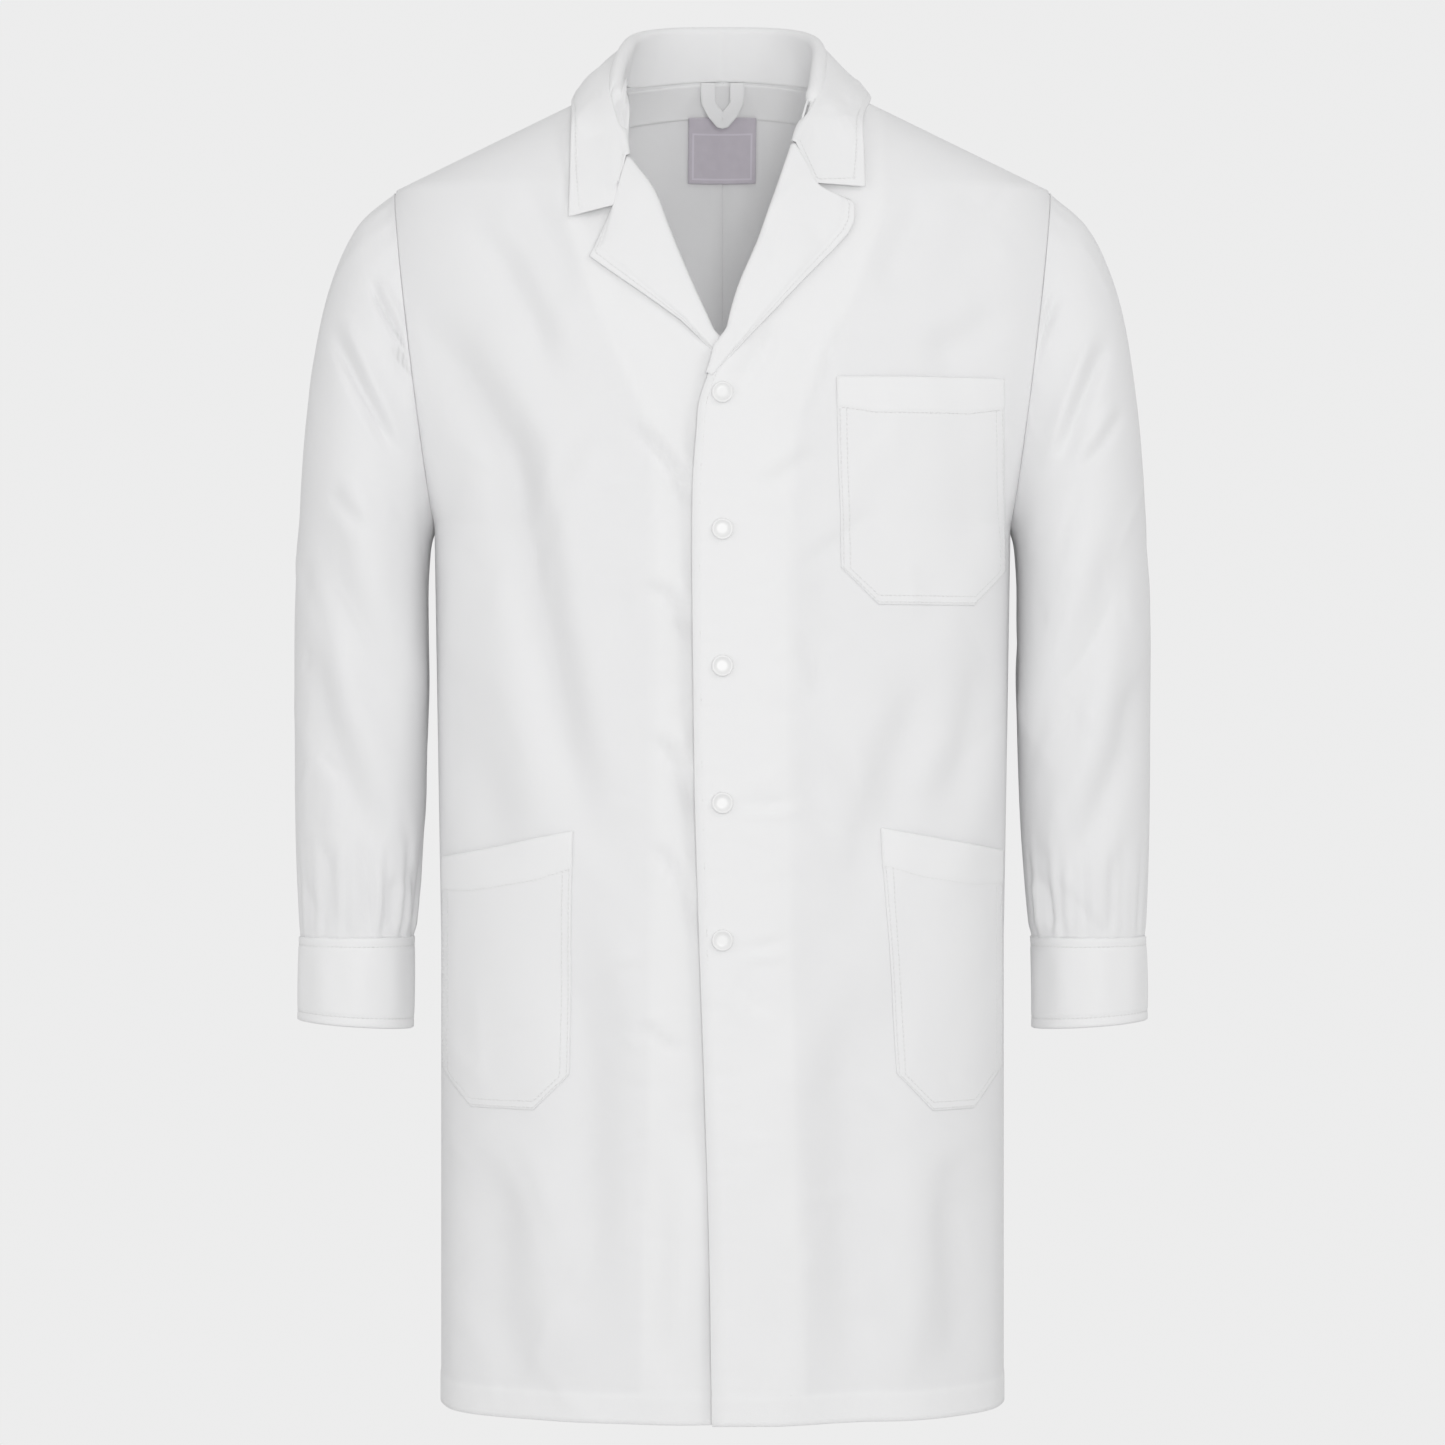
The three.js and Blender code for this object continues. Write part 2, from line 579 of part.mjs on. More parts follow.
function turned(profile) {
  const segments = 12;
  const geometry = new THREE.LatheGeometry(profile.map(([r, h]) => new THREE.Vector2(r, h)), segments);
  return weld(geometry);
}

function studParts() {
  const capRadius = CAP_DIAMETER / 2;
  const plateRadius = STUD_DIAMETER / 2;
  const rim = CAP_BASE + 2.6;
  const pinTip = STUD_HEAD_TOP + 0.5;
  const postBase = -LAYER - CLOTH / 2 - 0.3;
  const cavity = STUD_HEAD_TOP + 0.3;
  return {
    cap: turned([
      [0, pinTip], [PIN_RADIUS, pinTip], [PIN_RADIUS, CAP_BASE], [capRadius - 0.5, CAP_BASE],
      [capRadius, CAP_BASE + 0.6], [capRadius, rim - 0.9], [capRadius - 0.8, rim], [capRadius - 1.8, rim - 0.4],
      [0, rim - 0.4],
    ]),
    socket: turned([
      [HEAD_RADIUS + 0.3, SOCKET_BASE], [plateRadius, SOCKET_BASE], [plateRadius, SOCKET_TOP],
      [PIN_RADIUS + 0.3, SOCKET_TOP], [PIN_RADIUS + 0.3, cavity], [HEAD_RADIUS + 0.3, cavity],
      [HEAD_RADIUS + 0.3, SOCKET_BASE],
    ]),
    stud: turned([
      [0, STUD_PLATE + 1.4], [PIN_RADIUS + 0.3, STUD_PLATE + 1.4], [PIN_RADIUS + 0.3, STUD_PLATE],
      [plateRadius, STUD_PLATE], [plateRadius, STUD_PLATE + 0.8], [HEAD_RADIUS - 0.3, STUD_PLATE + 0.8],
      [HEAD_RADIUS, STUD_HEAD_TOP - 0.6], [HEAD_RADIUS - 0.5, STUD_HEAD_TOP], [0, STUD_HEAD_TOP],
    ]),
    post: turned([
      [0, postBase - 0.9], [plateRadius, postBase - 0.9], [plateRadius, postBase], [PIN_RADIUS, postBase],
      [PIN_RADIUS, STUD_PLATE + 0.9], [0, STUD_PLATE + 0.9],
    ]),
  };
}

function studZ(number) {
  return TOP_STUD_Z - (number - 1) * STUD_PITCH;
}

// A stud stands square to the cloth on the centre line.
function studFrame(number) {
  const seat = bodySurface(0, studZ(number));
  const outwards = bodyPoint(0, studZ(number), 1).sub(bodyPoint(0, studZ(number), 0)).normalize();
  const turn = new THREE.Quaternion().setFromUnitVectors(new THREE.Vector3(0, 1, 0), outwards);
  return new THREE.Matrix4().compose(seat, turn, new THREE.Vector3(1, 1, 1));
}

// One round hole for each stud, through every layer of cloth.
function studHoles() {
  const reach = 60;
  let holes = null;
  for (let number = 1; number <= STUD_COUNT; number++) {
    const drill = new THREE.CylinderGeometry(HOLE_DIAMETER / 2, HOLE_DIAMETER / 2, reach, 8);
    const solid = toSolid(weld(drill.applyMatrix4(studFrame(number))));
    holes = holes ? holes.add(solid) : solid;
  }
  return holes;
}

// ---- the two loose skirt corners below the lowest stud ----
function flapBox(side, gap) {
  const deep = 2 * SKIRT_HALF_DEPTH;
  const reach = 60;
  const width = FLAP_HINGE_X + reach - gap;
  const height = FLAP_TOP_Z - HEM_Z + reach - gap;
  const box = new THREE.BoxGeometry(width, deep, height);
  const x = side * (FLAP_HINGE_X - gap - width / 2);
  box.translate(x, -deep / 2, FLAP_TOP_Z - gap - height / 2);
  return toSolid(weld(box));
}

// ---- assembly ----
const coat = new THREE.Group();
coat.position.y = -NECK_BACK_DEPTH;

function part(name, geometry, material) {
  const mesh = new THREE.Mesh(geometry, material);
  mesh.name = name;
  coat.add(mesh);
  return mesh;
}

const holes = studHoles();
for (const side of [-1, 1]) {
  const hand = side < 0 ? 'right' : 'left';
  const front = toSolid(frontPanel(side)).subtract(holes);
  part(`front_${hand}`, toGeometry(front.subtract(flapBox(side, 0))), whiteCloth);
  part(`front_${hand}_skirt`, toGeometry(front.intersect(flapBox(side, SEAM_GAP))), whiteCloth);
  const upper = toSolid(facing(side, FLAP_TOP_Z, LAPEL_BREAK_Z - 2)).subtract(holes);
  part(`facing_${hand}`, toGeometry(upper), whiteCloth);
  part(`facing_${hand}_skirt`, facing(side, HEM_Z, FLAP_TOP_Z - SEAM_GAP), whiteCloth);
  part(`lapel_${hand}`, lapel(side), whiteCloth);
  part(`back_${hand}`, backPanel(side), whiteCloth);
  part(`sleeve_${hand}`, sleeve(side), whiteCloth);
  part(`cuff_${hand}`, cuff(side), whiteCloth);
  part(`hip_pocket_${hand}`, pocket(side, HIP_POCKET), whiteCloth);
}
part('chest_pocket', pocket(1, CHEST_POCKET), whiteCloth);
part('collar_upper', collarLayer(26, 0, 0, 0, 0), whiteCloth);
part('collar_under', collarLayer(22, -LAYER, 0.08, 0.53, 0.03), whiteCloth);

// The neck facing is a strip across the inside of the back neck.
part('neck_facing', sheet(8, 2, CLOTH, (u, v, w) => {
  const x = lerp(-NECK_FACING.halfWidth, NECK_FACING.halfWidth, u);
  const z = lerp(NECK_FACING.bottom, NECK_FACING.top, v);
  const width = halfWidth(z, along(BACK_DEPTH, z));
  const angle = Math.asin(Math.pow(Math.abs(x) / width, SECTION_POWER / 2));
  return backPoint(Math.sign(x) || 1, angle, z, w - LAYER);
}), whiteCloth);

part('neck_label', sheet(4, 3, CLOTH / 2, (u, v, w) => {
  const x = lerp(-LABEL.width / 2, LABEL.width / 2, u);
  const z = lerp(-LABEL.drop - LABEL.height, -LABEL.drop, v);
  const width = halfWidth(z, along(BACK_DEPTH, z));
  const angle = Math.asin(Math.pow(Math.abs(x) / width, SECTION_POWER / 2));
  return bodyPoint(Math.PI - angle * Math.sign(x || 1), z, w - LAYER + 0.1);
}), labelCloth);

// The hanger loop is one tape folded to a point: two legs from the neck seam.
function hangerLoop() {
  const half = LOOP_WIDTH / 2;
  const shape = new THREE.Shape();
  shape.moveTo(-half, 0);
  shape.lineTo(-half, -LOOP_DROP / 2);
  shape.lineTo(0, -LOOP_DROP);
  shape.lineTo(half, -LOOP_DROP / 2);
  shape.lineTo(half, 0);
  shape.lineTo(half - LOOP_TAPE, 0);
  shape.lineTo(half - LOOP_TAPE, -LOOP_DROP / 2 + 2);
  shape.lineTo(0, -LOOP_DROP * 0.66);
  shape.lineTo(LOOP_TAPE - half, -LOOP_DROP / 2 + 2);
  shape.lineTo(LOOP_TAPE - half, 0);
  shape.closePath();
  return weld(new THREE.ExtrudeGeometry(shape, { depth: CLOTH, bevelEnabled: false }));
}
const loop = part('hanger_loop', hangerLoop(), whiteTape);
loop.rotation.x = QUARTER;
loop.position.set(0, NECK_BACK_DEPTH - 1.3, -1);

const studShapes = studParts();
for (let number = 1; number <= STUD_COUNT; number++) {
  for (const [kind, geometry] of Object.entries(studShapes)) {
    const mesh = part(`stud_${number}_${kind}`, geometry, whitePlastic);
    mesh.applyMatrix4(studFrame(number));
  }
}

export default coat;
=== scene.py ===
# %% [markdown]
# # A lab coat, sewn piece by piece
# The imported model gives the fixed frame: every node, body and joint in metres. The finished coat has to
# stay within it.

# %% Load the frame
import bpy
import math
import numpy as np
from mathutils import Matrix, Vector


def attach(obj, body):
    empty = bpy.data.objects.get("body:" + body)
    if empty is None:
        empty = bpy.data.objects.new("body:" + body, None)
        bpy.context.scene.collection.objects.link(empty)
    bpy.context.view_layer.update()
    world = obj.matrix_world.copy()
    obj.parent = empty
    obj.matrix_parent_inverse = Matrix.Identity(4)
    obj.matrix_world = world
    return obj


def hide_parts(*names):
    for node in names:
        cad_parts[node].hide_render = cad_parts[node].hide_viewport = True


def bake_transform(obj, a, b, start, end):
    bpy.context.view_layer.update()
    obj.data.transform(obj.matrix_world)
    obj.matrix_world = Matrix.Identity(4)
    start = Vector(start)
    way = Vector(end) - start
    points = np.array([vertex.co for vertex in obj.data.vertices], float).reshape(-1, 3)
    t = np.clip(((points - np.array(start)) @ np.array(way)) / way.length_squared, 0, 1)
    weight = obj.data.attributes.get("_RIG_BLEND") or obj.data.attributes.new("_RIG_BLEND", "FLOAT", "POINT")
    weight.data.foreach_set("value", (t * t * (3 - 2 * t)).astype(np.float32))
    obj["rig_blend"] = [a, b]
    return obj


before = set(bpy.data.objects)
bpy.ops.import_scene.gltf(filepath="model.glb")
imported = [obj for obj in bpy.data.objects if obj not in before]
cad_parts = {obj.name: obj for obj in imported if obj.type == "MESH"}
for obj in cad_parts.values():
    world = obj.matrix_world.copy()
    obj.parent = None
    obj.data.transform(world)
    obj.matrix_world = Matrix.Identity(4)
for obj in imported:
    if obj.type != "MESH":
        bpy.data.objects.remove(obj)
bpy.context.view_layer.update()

# %% [markdown]
# A coat is cut from flat cloth, but on the body every panel follows one rounded shape. So the shape comes
# first, as functions that give a point for an angle round the body and a height. All lengths here are
# millimetres, with y = 0 at the middle of the coat's depth; `to_frame` turns them into the frame's metres.

# %% Sizes of the coat, in millimetres
MM = 0.001
HEM_Z, SKIRT_Z, ARMPIT_Z, SHOULDER_Z, NECK_Z = -976.0, -640.0, -338.0, -92.0, -11.0
CHEST_HALF, SKIRT_HALF, SHOULDER_HALF, NECK_HALF, NECK_BACK = 211.0, 206.0, 240.0, 75.0, 62.0
ARMHOLE_HALF_DEPTH, SECTION_POWER = 58.0, 2.5
CLOTH, LAYER, SEAM_GAP = 0.8, 1.6, 0.5
BREAK_Z, TOP_STUD_Z, STUD_PITCH, OVERLAP, FACING_WIDTH = -213.0, -248.0, 96.6, 19.0, 70.0
FOLD_ROOM, FOLD_RADIUS = 5.0, 2.9
LAPEL_LEVEL = 2 * FOLD_RADIUS - LAYER
LEFT_FRONT_LEVEL, SETTLE_X, HEM_BAND, SECOND_LAYER = 7.2, 78.0, 21.0, 0.5
COLLAR_STAND, COLLAR_FALL, COLLAR_FOLD = 36.0, 46.0, 4.8
FRONT_DEPTH = [(NECK_Z, 40), (-40, 57), (SHOULDER_Z, 80), (-160, 101), (BREAK_Z, 110), (ARMPIT_Z, 116),
               (SKIRT_Z, 124), (HEM_Z, 124)]
BACK_DEPTH = [(NECK_Z, NECK_BACK), (-40, 78), (SHOULDER_Z, 94), (-200, 108), (ARMPIT_Z, 116),
              (SKIRT_Z, 124), (HEM_Z, 124)]
# The two sides of a worn coat never hang quite alike, so these have a right (-1) and a left (1) version.
ROLL_LINE = {-1: [(-76, 66), (-102, 48), (-128, 38), (-160, 25), (-189, 12), (BREAK_Z, 0)],
             1: [(-68, 49), (-105, 37), (-139, 25), (-176, 10), (BREAK_Z, 0)]}
FRONT_EDGE = {-1: [(BREAK_Z, -2), (-240, -11), (-268, -OVERLAP), (SKIRT_Z, -OVERLAP), (HEM_Z, -OVERLAP)],
              1: [(BREAK_Z, -2), (-225, -6), (-254, -16), (-275, -18), (-310, -20.5),
                  (-367, -21), (-465, -20),
                  (-535, -19), (-634, -16), (-747, -12), (-852, -9), (HEM_Z, -7)]}
GORGE = {-1: (66.0, -76.0), 1: (49.0, -68.0)}
NOTCH = {-1: (77.5, -113.0), 1: (66.5, -96.5)}
COLLAR_TIP = {-1: (109.0, -121.0), 1: (101.5, -98.5)}


def along(keys, z):
    """A smooth curve through (z, value) keys listed from the top down."""
    z = np.asarray(z, float)
    at = np.array([k[0] for k in keys], float)
    value = np.array([k[1] for k in keys], float)
    slope = np.empty_like(value)
    slope[1:-1] = (value[2:] - value[:-2]) / (at[2:] - at[:-2])
    slope[0] = (value[1] - value[0]) / (at[1] - at[0])
    slope[-1] = (value[-1] - value[-2]) / (at[-1] - at[-2])
    i = np.clip(np.searchsorted(-at, -z) - 1, 0, len(at) - 2)
    span = at[i + 1] - at[i]
    t = np.clip((z - at[i]) / span, 0, 1)
    t2, t3 = t * t, t * t * t
    return ((2 * t3 - 3 * t2 + 1) * value[i] + (t3 - 2 * t2 + t) * span * slope[i]
            + (3 * t2 - 2 * t3) * value[i + 1] + (t3 - t2) * span * slope[i + 1])


def smooth(x, low, high):
    t = np.clip((np.asarray(x, float) - low) / (high - low), 0, 1)
    return t * t * (3 - 2 * t)


def mix(a, b, t):
    return a + (b - a) * t


def to_frame(points):
    return (np.asarray(points, float) - [0, NECK_BACK, 0]) * MM


# %% [markdown]
# The body's cross-section is a superellipse, a rounded shape between an ellipse and a box, which is how a
# hanging coat looks from above. Between shoulder and armpit its width is set so that its side passes
# exactly through the armhole.

# %% The shape of the body
def armhole_x(z):
    return mix(SHOULDER_HALF, CHEST_HALF, (SHOULDER_Z - z) / (SHOULDER_Z - ARMPIT_Z))


def armhole_y(z):
    across = (z - (SHOULDER_Z + ARMPIT_Z) / 2) / ((SHOULDER_Z - ARMPIT_Z) / 2)
    return ARMHOLE_HALF_DEPTH * np.sqrt(np.clip(1 - across * across, 0, None))


def half_width(z, depth):
    z = np.asarray(z, float)
    shoulder = mix(SHOULDER_HALF, NECK_HALF, (z - SHOULDER_Z) / (NECK_Z - SHOULDER_Z))
    share = np.clip(1 - (armhole_y(z) / depth) ** SECTION_POWER, 0.05, 1)
    hole = armhole_x(z) / share ** (1 / SECTION_POWER)
    below = along([(ARMPIT_Z, CHEST_HALF), (SKIRT_Z, SKIRT_HALF)], z)
    return np.where(z >= SHOULDER_Z, shoulder, np.where(z >= ARMPIT_Z, hole, below))


def body_surface(angle, z):
    sine, cosine = np.sin(angle), np.cos(angle)
    depth = np.where(cosine >= 0, along(FRONT_DEPTH, z), along(BACK_DEPTH, z))
    power = 2 / SECTION_POWER
    x = np.sign(sine) * half_width(z, depth) * np.abs(sine) ** power
    y = -np.sign(cosine) * depth * np.abs(cosine) ** power
    return np.stack([x, y, z + 0 * x], -1)


def body_point(angle, z, offset):
    around = body_surface(angle + 0.02, z) - body_surface(angle - 0.02, z)
    up = body_surface(angle, z + 2) - body_surface(angle, z - 2)
    normal = np.cross(around, up)
    normal /= np.linalg.norm(normal, axis=-1, keepdims=True)
    return body_surface(angle, z) + normal * np.asarray(offset)[..., None]


def angle_at_x(x, z, keys=FRONT_DEPTH):
    share = np.clip((np.abs(x) / half_width(z, along(keys, z))) ** (SECTION_POWER / 2), 0, 1)
    return np.sign(x) * np.arcsin(share)


def angle_near_side(y, z, keys):
    return np.arccos(np.clip((y / along(keys, z)) ** (SECTION_POWER / 2), 0, 1))


def outer_angle(z, keys):
    at_seam = angle_near_side(SEAM_GAP / 2, z, keys)
    at_hole = angle_near_side(np.maximum(armhole_y(z), SEAM_GAP / 2), z, keys)
    inside = (z < SHOULDER_Z) & (z > ARMPIT_Z)
    return np.where(inside, np.minimum(at_seam, at_hole), at_seam)


def inner_edge(side, z):
    """x of a front's inner edge, counted from the centre towards its own side."""
    gorge_x, gorge_z = GORGE[side]
    neck = mix(gorge_x + FOLD_ROOM, NECK_HALF - FOLD_ROOM, (z - gorge_z) / (NECK_Z - gorge_z))
    fold_line = along(ROLL_LINE[side], z) + FOLD_ROOM * smooth(z, BREAK_Z, BREAK_Z + 12)
    return np.where(z > gorge_z, neck, np.where(z > BREAK_Z, fold_line, along(FRONT_EDGE[side], z)))


def lift_of(side, x):
    return 0 * x if side < 0 else LEFT_FRONT_LEVEL * (1 - smooth(x, OVERLAP + 8, SETTLE_X))


print("half width at the chest:", round(float(half_width(-300.0, 115.0)), 1), "mm")

# %% [markdown]
# Real cloth is never quite smooth. Each panel gets the soft folds that hang from the shoulder point and the
# lapel, short drag folds beside the front edge, creases from folding, and slow waves down the skirt. A fold
# is a valley along a line with a low ridge beside it. All the layers of a front use the same folds, so that
# they never cut through each other.

# %% Folds in the cloth
def fold(x, z, path, width, depth, ridge=0.55):
    """A valley of this depth along a path of (x, z) points, with a ridge on its upper side."""
    points = np.array(path, float)
    best = np.full(np.shape(x), 1e9)
    signed = np.zeros(np.shape(x))
    place = np.zeros(np.shape(x))
    lengths = np.linalg.norm(np.diff(points, axis=0), axis=1)
    total, done = lengths.sum(), 0.0
    for (ax, az), (bx, bz), length in zip(points[:-1], points[1:], lengths):
        ux, uz = (bx - ax) / length, (bz - az) / length
        s = np.clip((x - ax) * ux + (z - az) * uz, 0, length)
        dx, dz = x - ax - s * ux, z - az - s * uz
        distance = np.hypot(dx, dz)
        nearer = distance < best
        best = np.where(nearer, distance, best)
        signed = np.where(nearer, distance * np.sign(dx * uz - dz * ux), signed)
        place = np.where(nearer, (done + s) / total, place)
        done += length
    ends = smooth(place, 0, 0.3) * (1 - smooth(place, 0.7, 1))
    valley = np.exp(-(signed / width) ** 2)
    bank = np.exp(-((signed - 1.7 * width) / (1.1 * width)) ** 2)
    return depth * ends * (ridge * bank - valley)


def creases(x, z, seed, count, box, tilt, length, width, depth):
    """Many small random folds inside a box, all from one seed."""
    rng = np.random.default_rng(seed)
    relief = np.zeros(np.shape(x))
    for _ in range(count):
        cx, cz = rng.uniform(box[0], box[1]), rng.uniform(box[2], box[3])
        angle = math.radians(rng.uniform(*tilt))
        half = rng.uniform(*length) / 2
        wide, deep = rng.uniform(*width), rng.uniform(*depth)
        ux, uz = math.cos(angle), math.sin(angle)
        s = ((x - cx) * ux + (z - cz) * uz) / half
        d = (x - cx) * -uz + (z - cz) * ux - rng.uniform(-0.12, 0.12) * half * s * s
        relief += deep * np.exp(-s ** 4) * np.exp(-(d / wide) ** 2)
    return relief


# Gains on the listed folds of the fronts and sleeves, and on the whole relief of the back.
FRONT_FOLD_GAIN, BACK_FOLD_GAIN, ARM_FOLD_GAIN = 2.3, 1.8, 1.5
RIGHT_FOLDS = [
    ([(214, -172), (180, -240), (150, -292), (132, -400), (112, -500), (84, -590)], 17, 4.2),
    ([(190, -112), (160, -150), (132, -205), (120, -250)], 13, 2.2),
    ([(150, -90), (122, -140), (108, -190)], 12, 1.5),
    ([(70, -262), (52, -284), (36, -304), (14, -330)], 7, 2.4),
    ([(60, -380), (44, -390), (30, -404), (12, -430)], 7, 2.0),
    ([(56, -484), (40, -502), (26, -524), (10, -560)], 7, 2.2),
    ([(54, -560), (40, -580), (26, -604), (8, -640)], 6, 1.6),
    ([(60, -690), (44, -706), (30, -716)], 5, 1.0),
    ([(196, -420), (170, -520), (160, -600)], 20, 1.6),
    ([(110, -600), (98, -700), (96, -800), (104, -930)], 22, 3.2),
    ([(168, -780), (160, -860), (158, -960)], 20, 2.6),
    ([(52, -760), (46, -860), (44, -960)], 14, 1.6),
]
LEFT_FOLDS = [
    ([(36, -196), (24, -224), (8, -250)], 7, 2.0),
    ([(92, -188), (82, -204), (70, -236), (64, -262)], 3.2, 0.9),
    ([(150, -100), (128, -140), (112, -184)], 13, 1.8),
    ([(206, -180), (178, -206), (140, -226)], 14, 1.6),
    ([(70, -286), (44, -306), (26, -320)], 7, 0.9),
    ([(52, -412), (64, -438), (70, -466)], 6, 1.0),
    ([(12, -538), (34, -540), (54, -534)], 4, 0.9),
    ([(12, -640), (28, -640), (44, -634)], 4, 1.0),
    ([(4, -646), (14, -668), (30, -690)], 5, 1.2),
    ([(150, -420), (136, -480), (108, -560), (96, -640)], 18, 2.4),
    ([(190, -420), (176, -500), (150, -560)], 14, 1.5),
    ([(96, -640), (88, -740), (92, -860), (98, -960)], 20, 3.0),
    ([(164, -780), (168, -860), (172, -960)], 20, 2.8),
    ([(36, -760), (40, -860), (42, -960)], 14, 1.4),
]


def front_relief(side, x, z):
    relief = np.zeros(np.broadcast(x, z).shape)
    for path, width, depth in RIGHT_FOLDS if side < 0 else LEFT_FOLDS:
        relief = relief + fold(x, z, path, width, FRONT_FOLD_GAIN * depth)
    relief += creases(x, z, 5 + side, 120, (0, 215, -960, -80), (30, 150), (25, 90), (4, 10), (-1.1, 1.1))
    relief += creases(x, z, 65 + side, 30, (20, 200, -940, -120), (50, 130), (90, 220), (12, 24),
                      (-3.2, 3.2))
    relief += creases(x, z, 25 + side, 60, (8, 80, -960, -240), (-60, 60), (10, 34), (2.5, 6), (-0.7, 0.7))
    down = smooth(-z, 560, 960)
    relief += down * (2.2 * np.cos((x - 30) / 27.0 + 0.4 * side) + 1.1 * np.cos(x / 13.0 + 2 * side))
    edge = inner_edge(side, z)
    puckers = np.sin(z / 2.1) * np.sin(z / 17.0 + side) + 0.6 * np.sin(z / 3.7 + 1.3)
    relief += 0.4 * puckers * np.exp(-((x - edge - 7) / 5.0) ** 2) * (z < BREAK_Z - 8)
    relief -= 0.35 * np.exp(-((x - edge - 5) / 1.2) ** 2) * (z < BREAK_Z - 8)
    hem = z - HEM_Z - HEM_BAND
    relief -= 0.35 * np.exp(-(hem / 1.3) ** 2)
    relief += 0.3 * np.sin(x / 2.3 + side) * np.sin(x / 11.0) * np.exp(-((hem + 2) / 7.0) ** 2)
    side_x = body_surface(outer_angle(z, FRONT_DEPTH), z)[..., 0]
    fade = smooth(side_x - x, 0, 16)
    steady = 1 - 0.85 * np.exp(-(x / 13.0) ** 2) * (z > SKIRT_Z - 14)
    return relief * fade * steady


def back_relief(side, x, z):
    relief = np.zeros(np.broadcast(x, z).shape)
    folds = [
        ([(206, -170), (150, -250), (116, -380), (100, -520)], 20, 3.4),
        ([(176, -120), (120, -170), (60, -196)], 14, 1.8),
        ([(60, -200), (66, -400), (60, -600)], 22, 2.0),
        ([(150, -430), (140, -620), (150, -780)], 22, 2.6),
        ([(86, -600), (84, -780), (90, -960)], 20, 3.4),
        ([(160, -780), (166, -960)], 20, 3.0),
    ]
    for path, width, depth in folds:
        relief = relief + fold(x, z, [(px + 4 * side, pz) for px, pz in path], width, depth)
    relief += creases(x, z, 45 + side, 80, (5, 210, -960, -80), (30, 150), (25, 100), (4, 12), (-0.55, 0.55))
    down = smooth(-z, 520, 960)
    relief += down * (2.4 * np.cos(x / 25.0 + 0.7 * side) + 1.0 * np.cos(x / 12.0 - side))
    side_x = body_surface(np.pi - outer_angle(z, BACK_DEPTH), z)[..., 0]
    return BACK_FOLD_GAIN * relief * smooth(side_x - x, 0, 16) * smooth(x, 0, 20)


def with_neck_rise(point, z):
    """Lifts points near the neck so that the neckline is highest at the centre back."""
    rise = smooth(z, SHOULDER_Z, NECK_Z) * -NECK_Z
    point[..., 2] += rise * np.clip(1 - (point[..., 0] / NECK_HALF) ** 2, 0, 1)
    return point


def front_at(side, angle, z, offset):
    """A point of a front at an angle round the body, above its surface by an offset."""
    angle, z, offset = np.broadcast_arrays(*(np.asarray(k, float) for k in (angle, z, offset)))
    x = body_surface(angle, z)[..., 0]
    point = body_point(angle, z, offset + lift_of(side, x) + front_relief(side, x, z))
    point[..., 0] *= side
    return point


def front_point(side, x, z, offset):
    return front_at(side, angle_at_x(np.asarray(x, float), np.asarray(z, float)), z, offset)


def back_point(side, angle, z, offset):
    flat = body_surface(np.pi - angle, z)
    point = with_neck_rise(body_point(np.pi - angle, z, offset + back_relief(side, flat[..., 0], z)), z)
    point[..., 0] *= side
    return point


print("folds:", len(RIGHT_FOLDS), "right,", len(LEFT_FOLDS), "left")

# %% [markdown]
# A panel starts as a grid of points on that shape. `cloth` makes it a closed piece with real thickness and a
# rounded edge: an outer skin, an inner skin, and a rim that bulges a little. It keeps two attributes. The
# UV map holds the distance along and across the cloth in metres, for the weave. `layers` says where more
# than one layer lies, as over a facing or in a hem, because there white cloth lets less light through.

# %% From a grid of points to a piece of cloth
def normals_of(grid, closed=False):
    if closed:
        across = np.roll(grid, -1, 1) - np.roll(grid, 1, 1)
    else:
        across = np.gradient(grid, axis=1)
    down = np.gradient(grid, axis=0)
    normal = np.cross(across, down)
    length = np.linalg.norm(normal, axis=-1, keepdims=True)
    return normal / np.maximum(length, 1e-12)


def mesh_object(name, vertices, faces):
    mesh = bpy.data.meshes.new(name)
    mesh.from_pydata(vertices.tolist(), [], faces)
    mesh.validate()
    mesh.shade_smooth()
    made = bpy.data.objects.new(name, mesh)
    bpy.context.collection.objects.link(made)
    return made


def grid_faces(rows, columns, start, flip, closed=False):
    i, j = np.meshgrid(np.arange(rows - 1), np.arange(columns if closed else columns - 1), indexing="ij")
    k = (j + 1) % columns
    quads = np.stack([i * columns + j, i * columns + k, (i + 1) * columns + k, (i + 1) * columns + j], -1)
    quads = quads.reshape(-1, 4) + start
    return (quads[:, ::-1] if flip else quads).tolist()


BODY_CORE = (0, 0, -500.0)


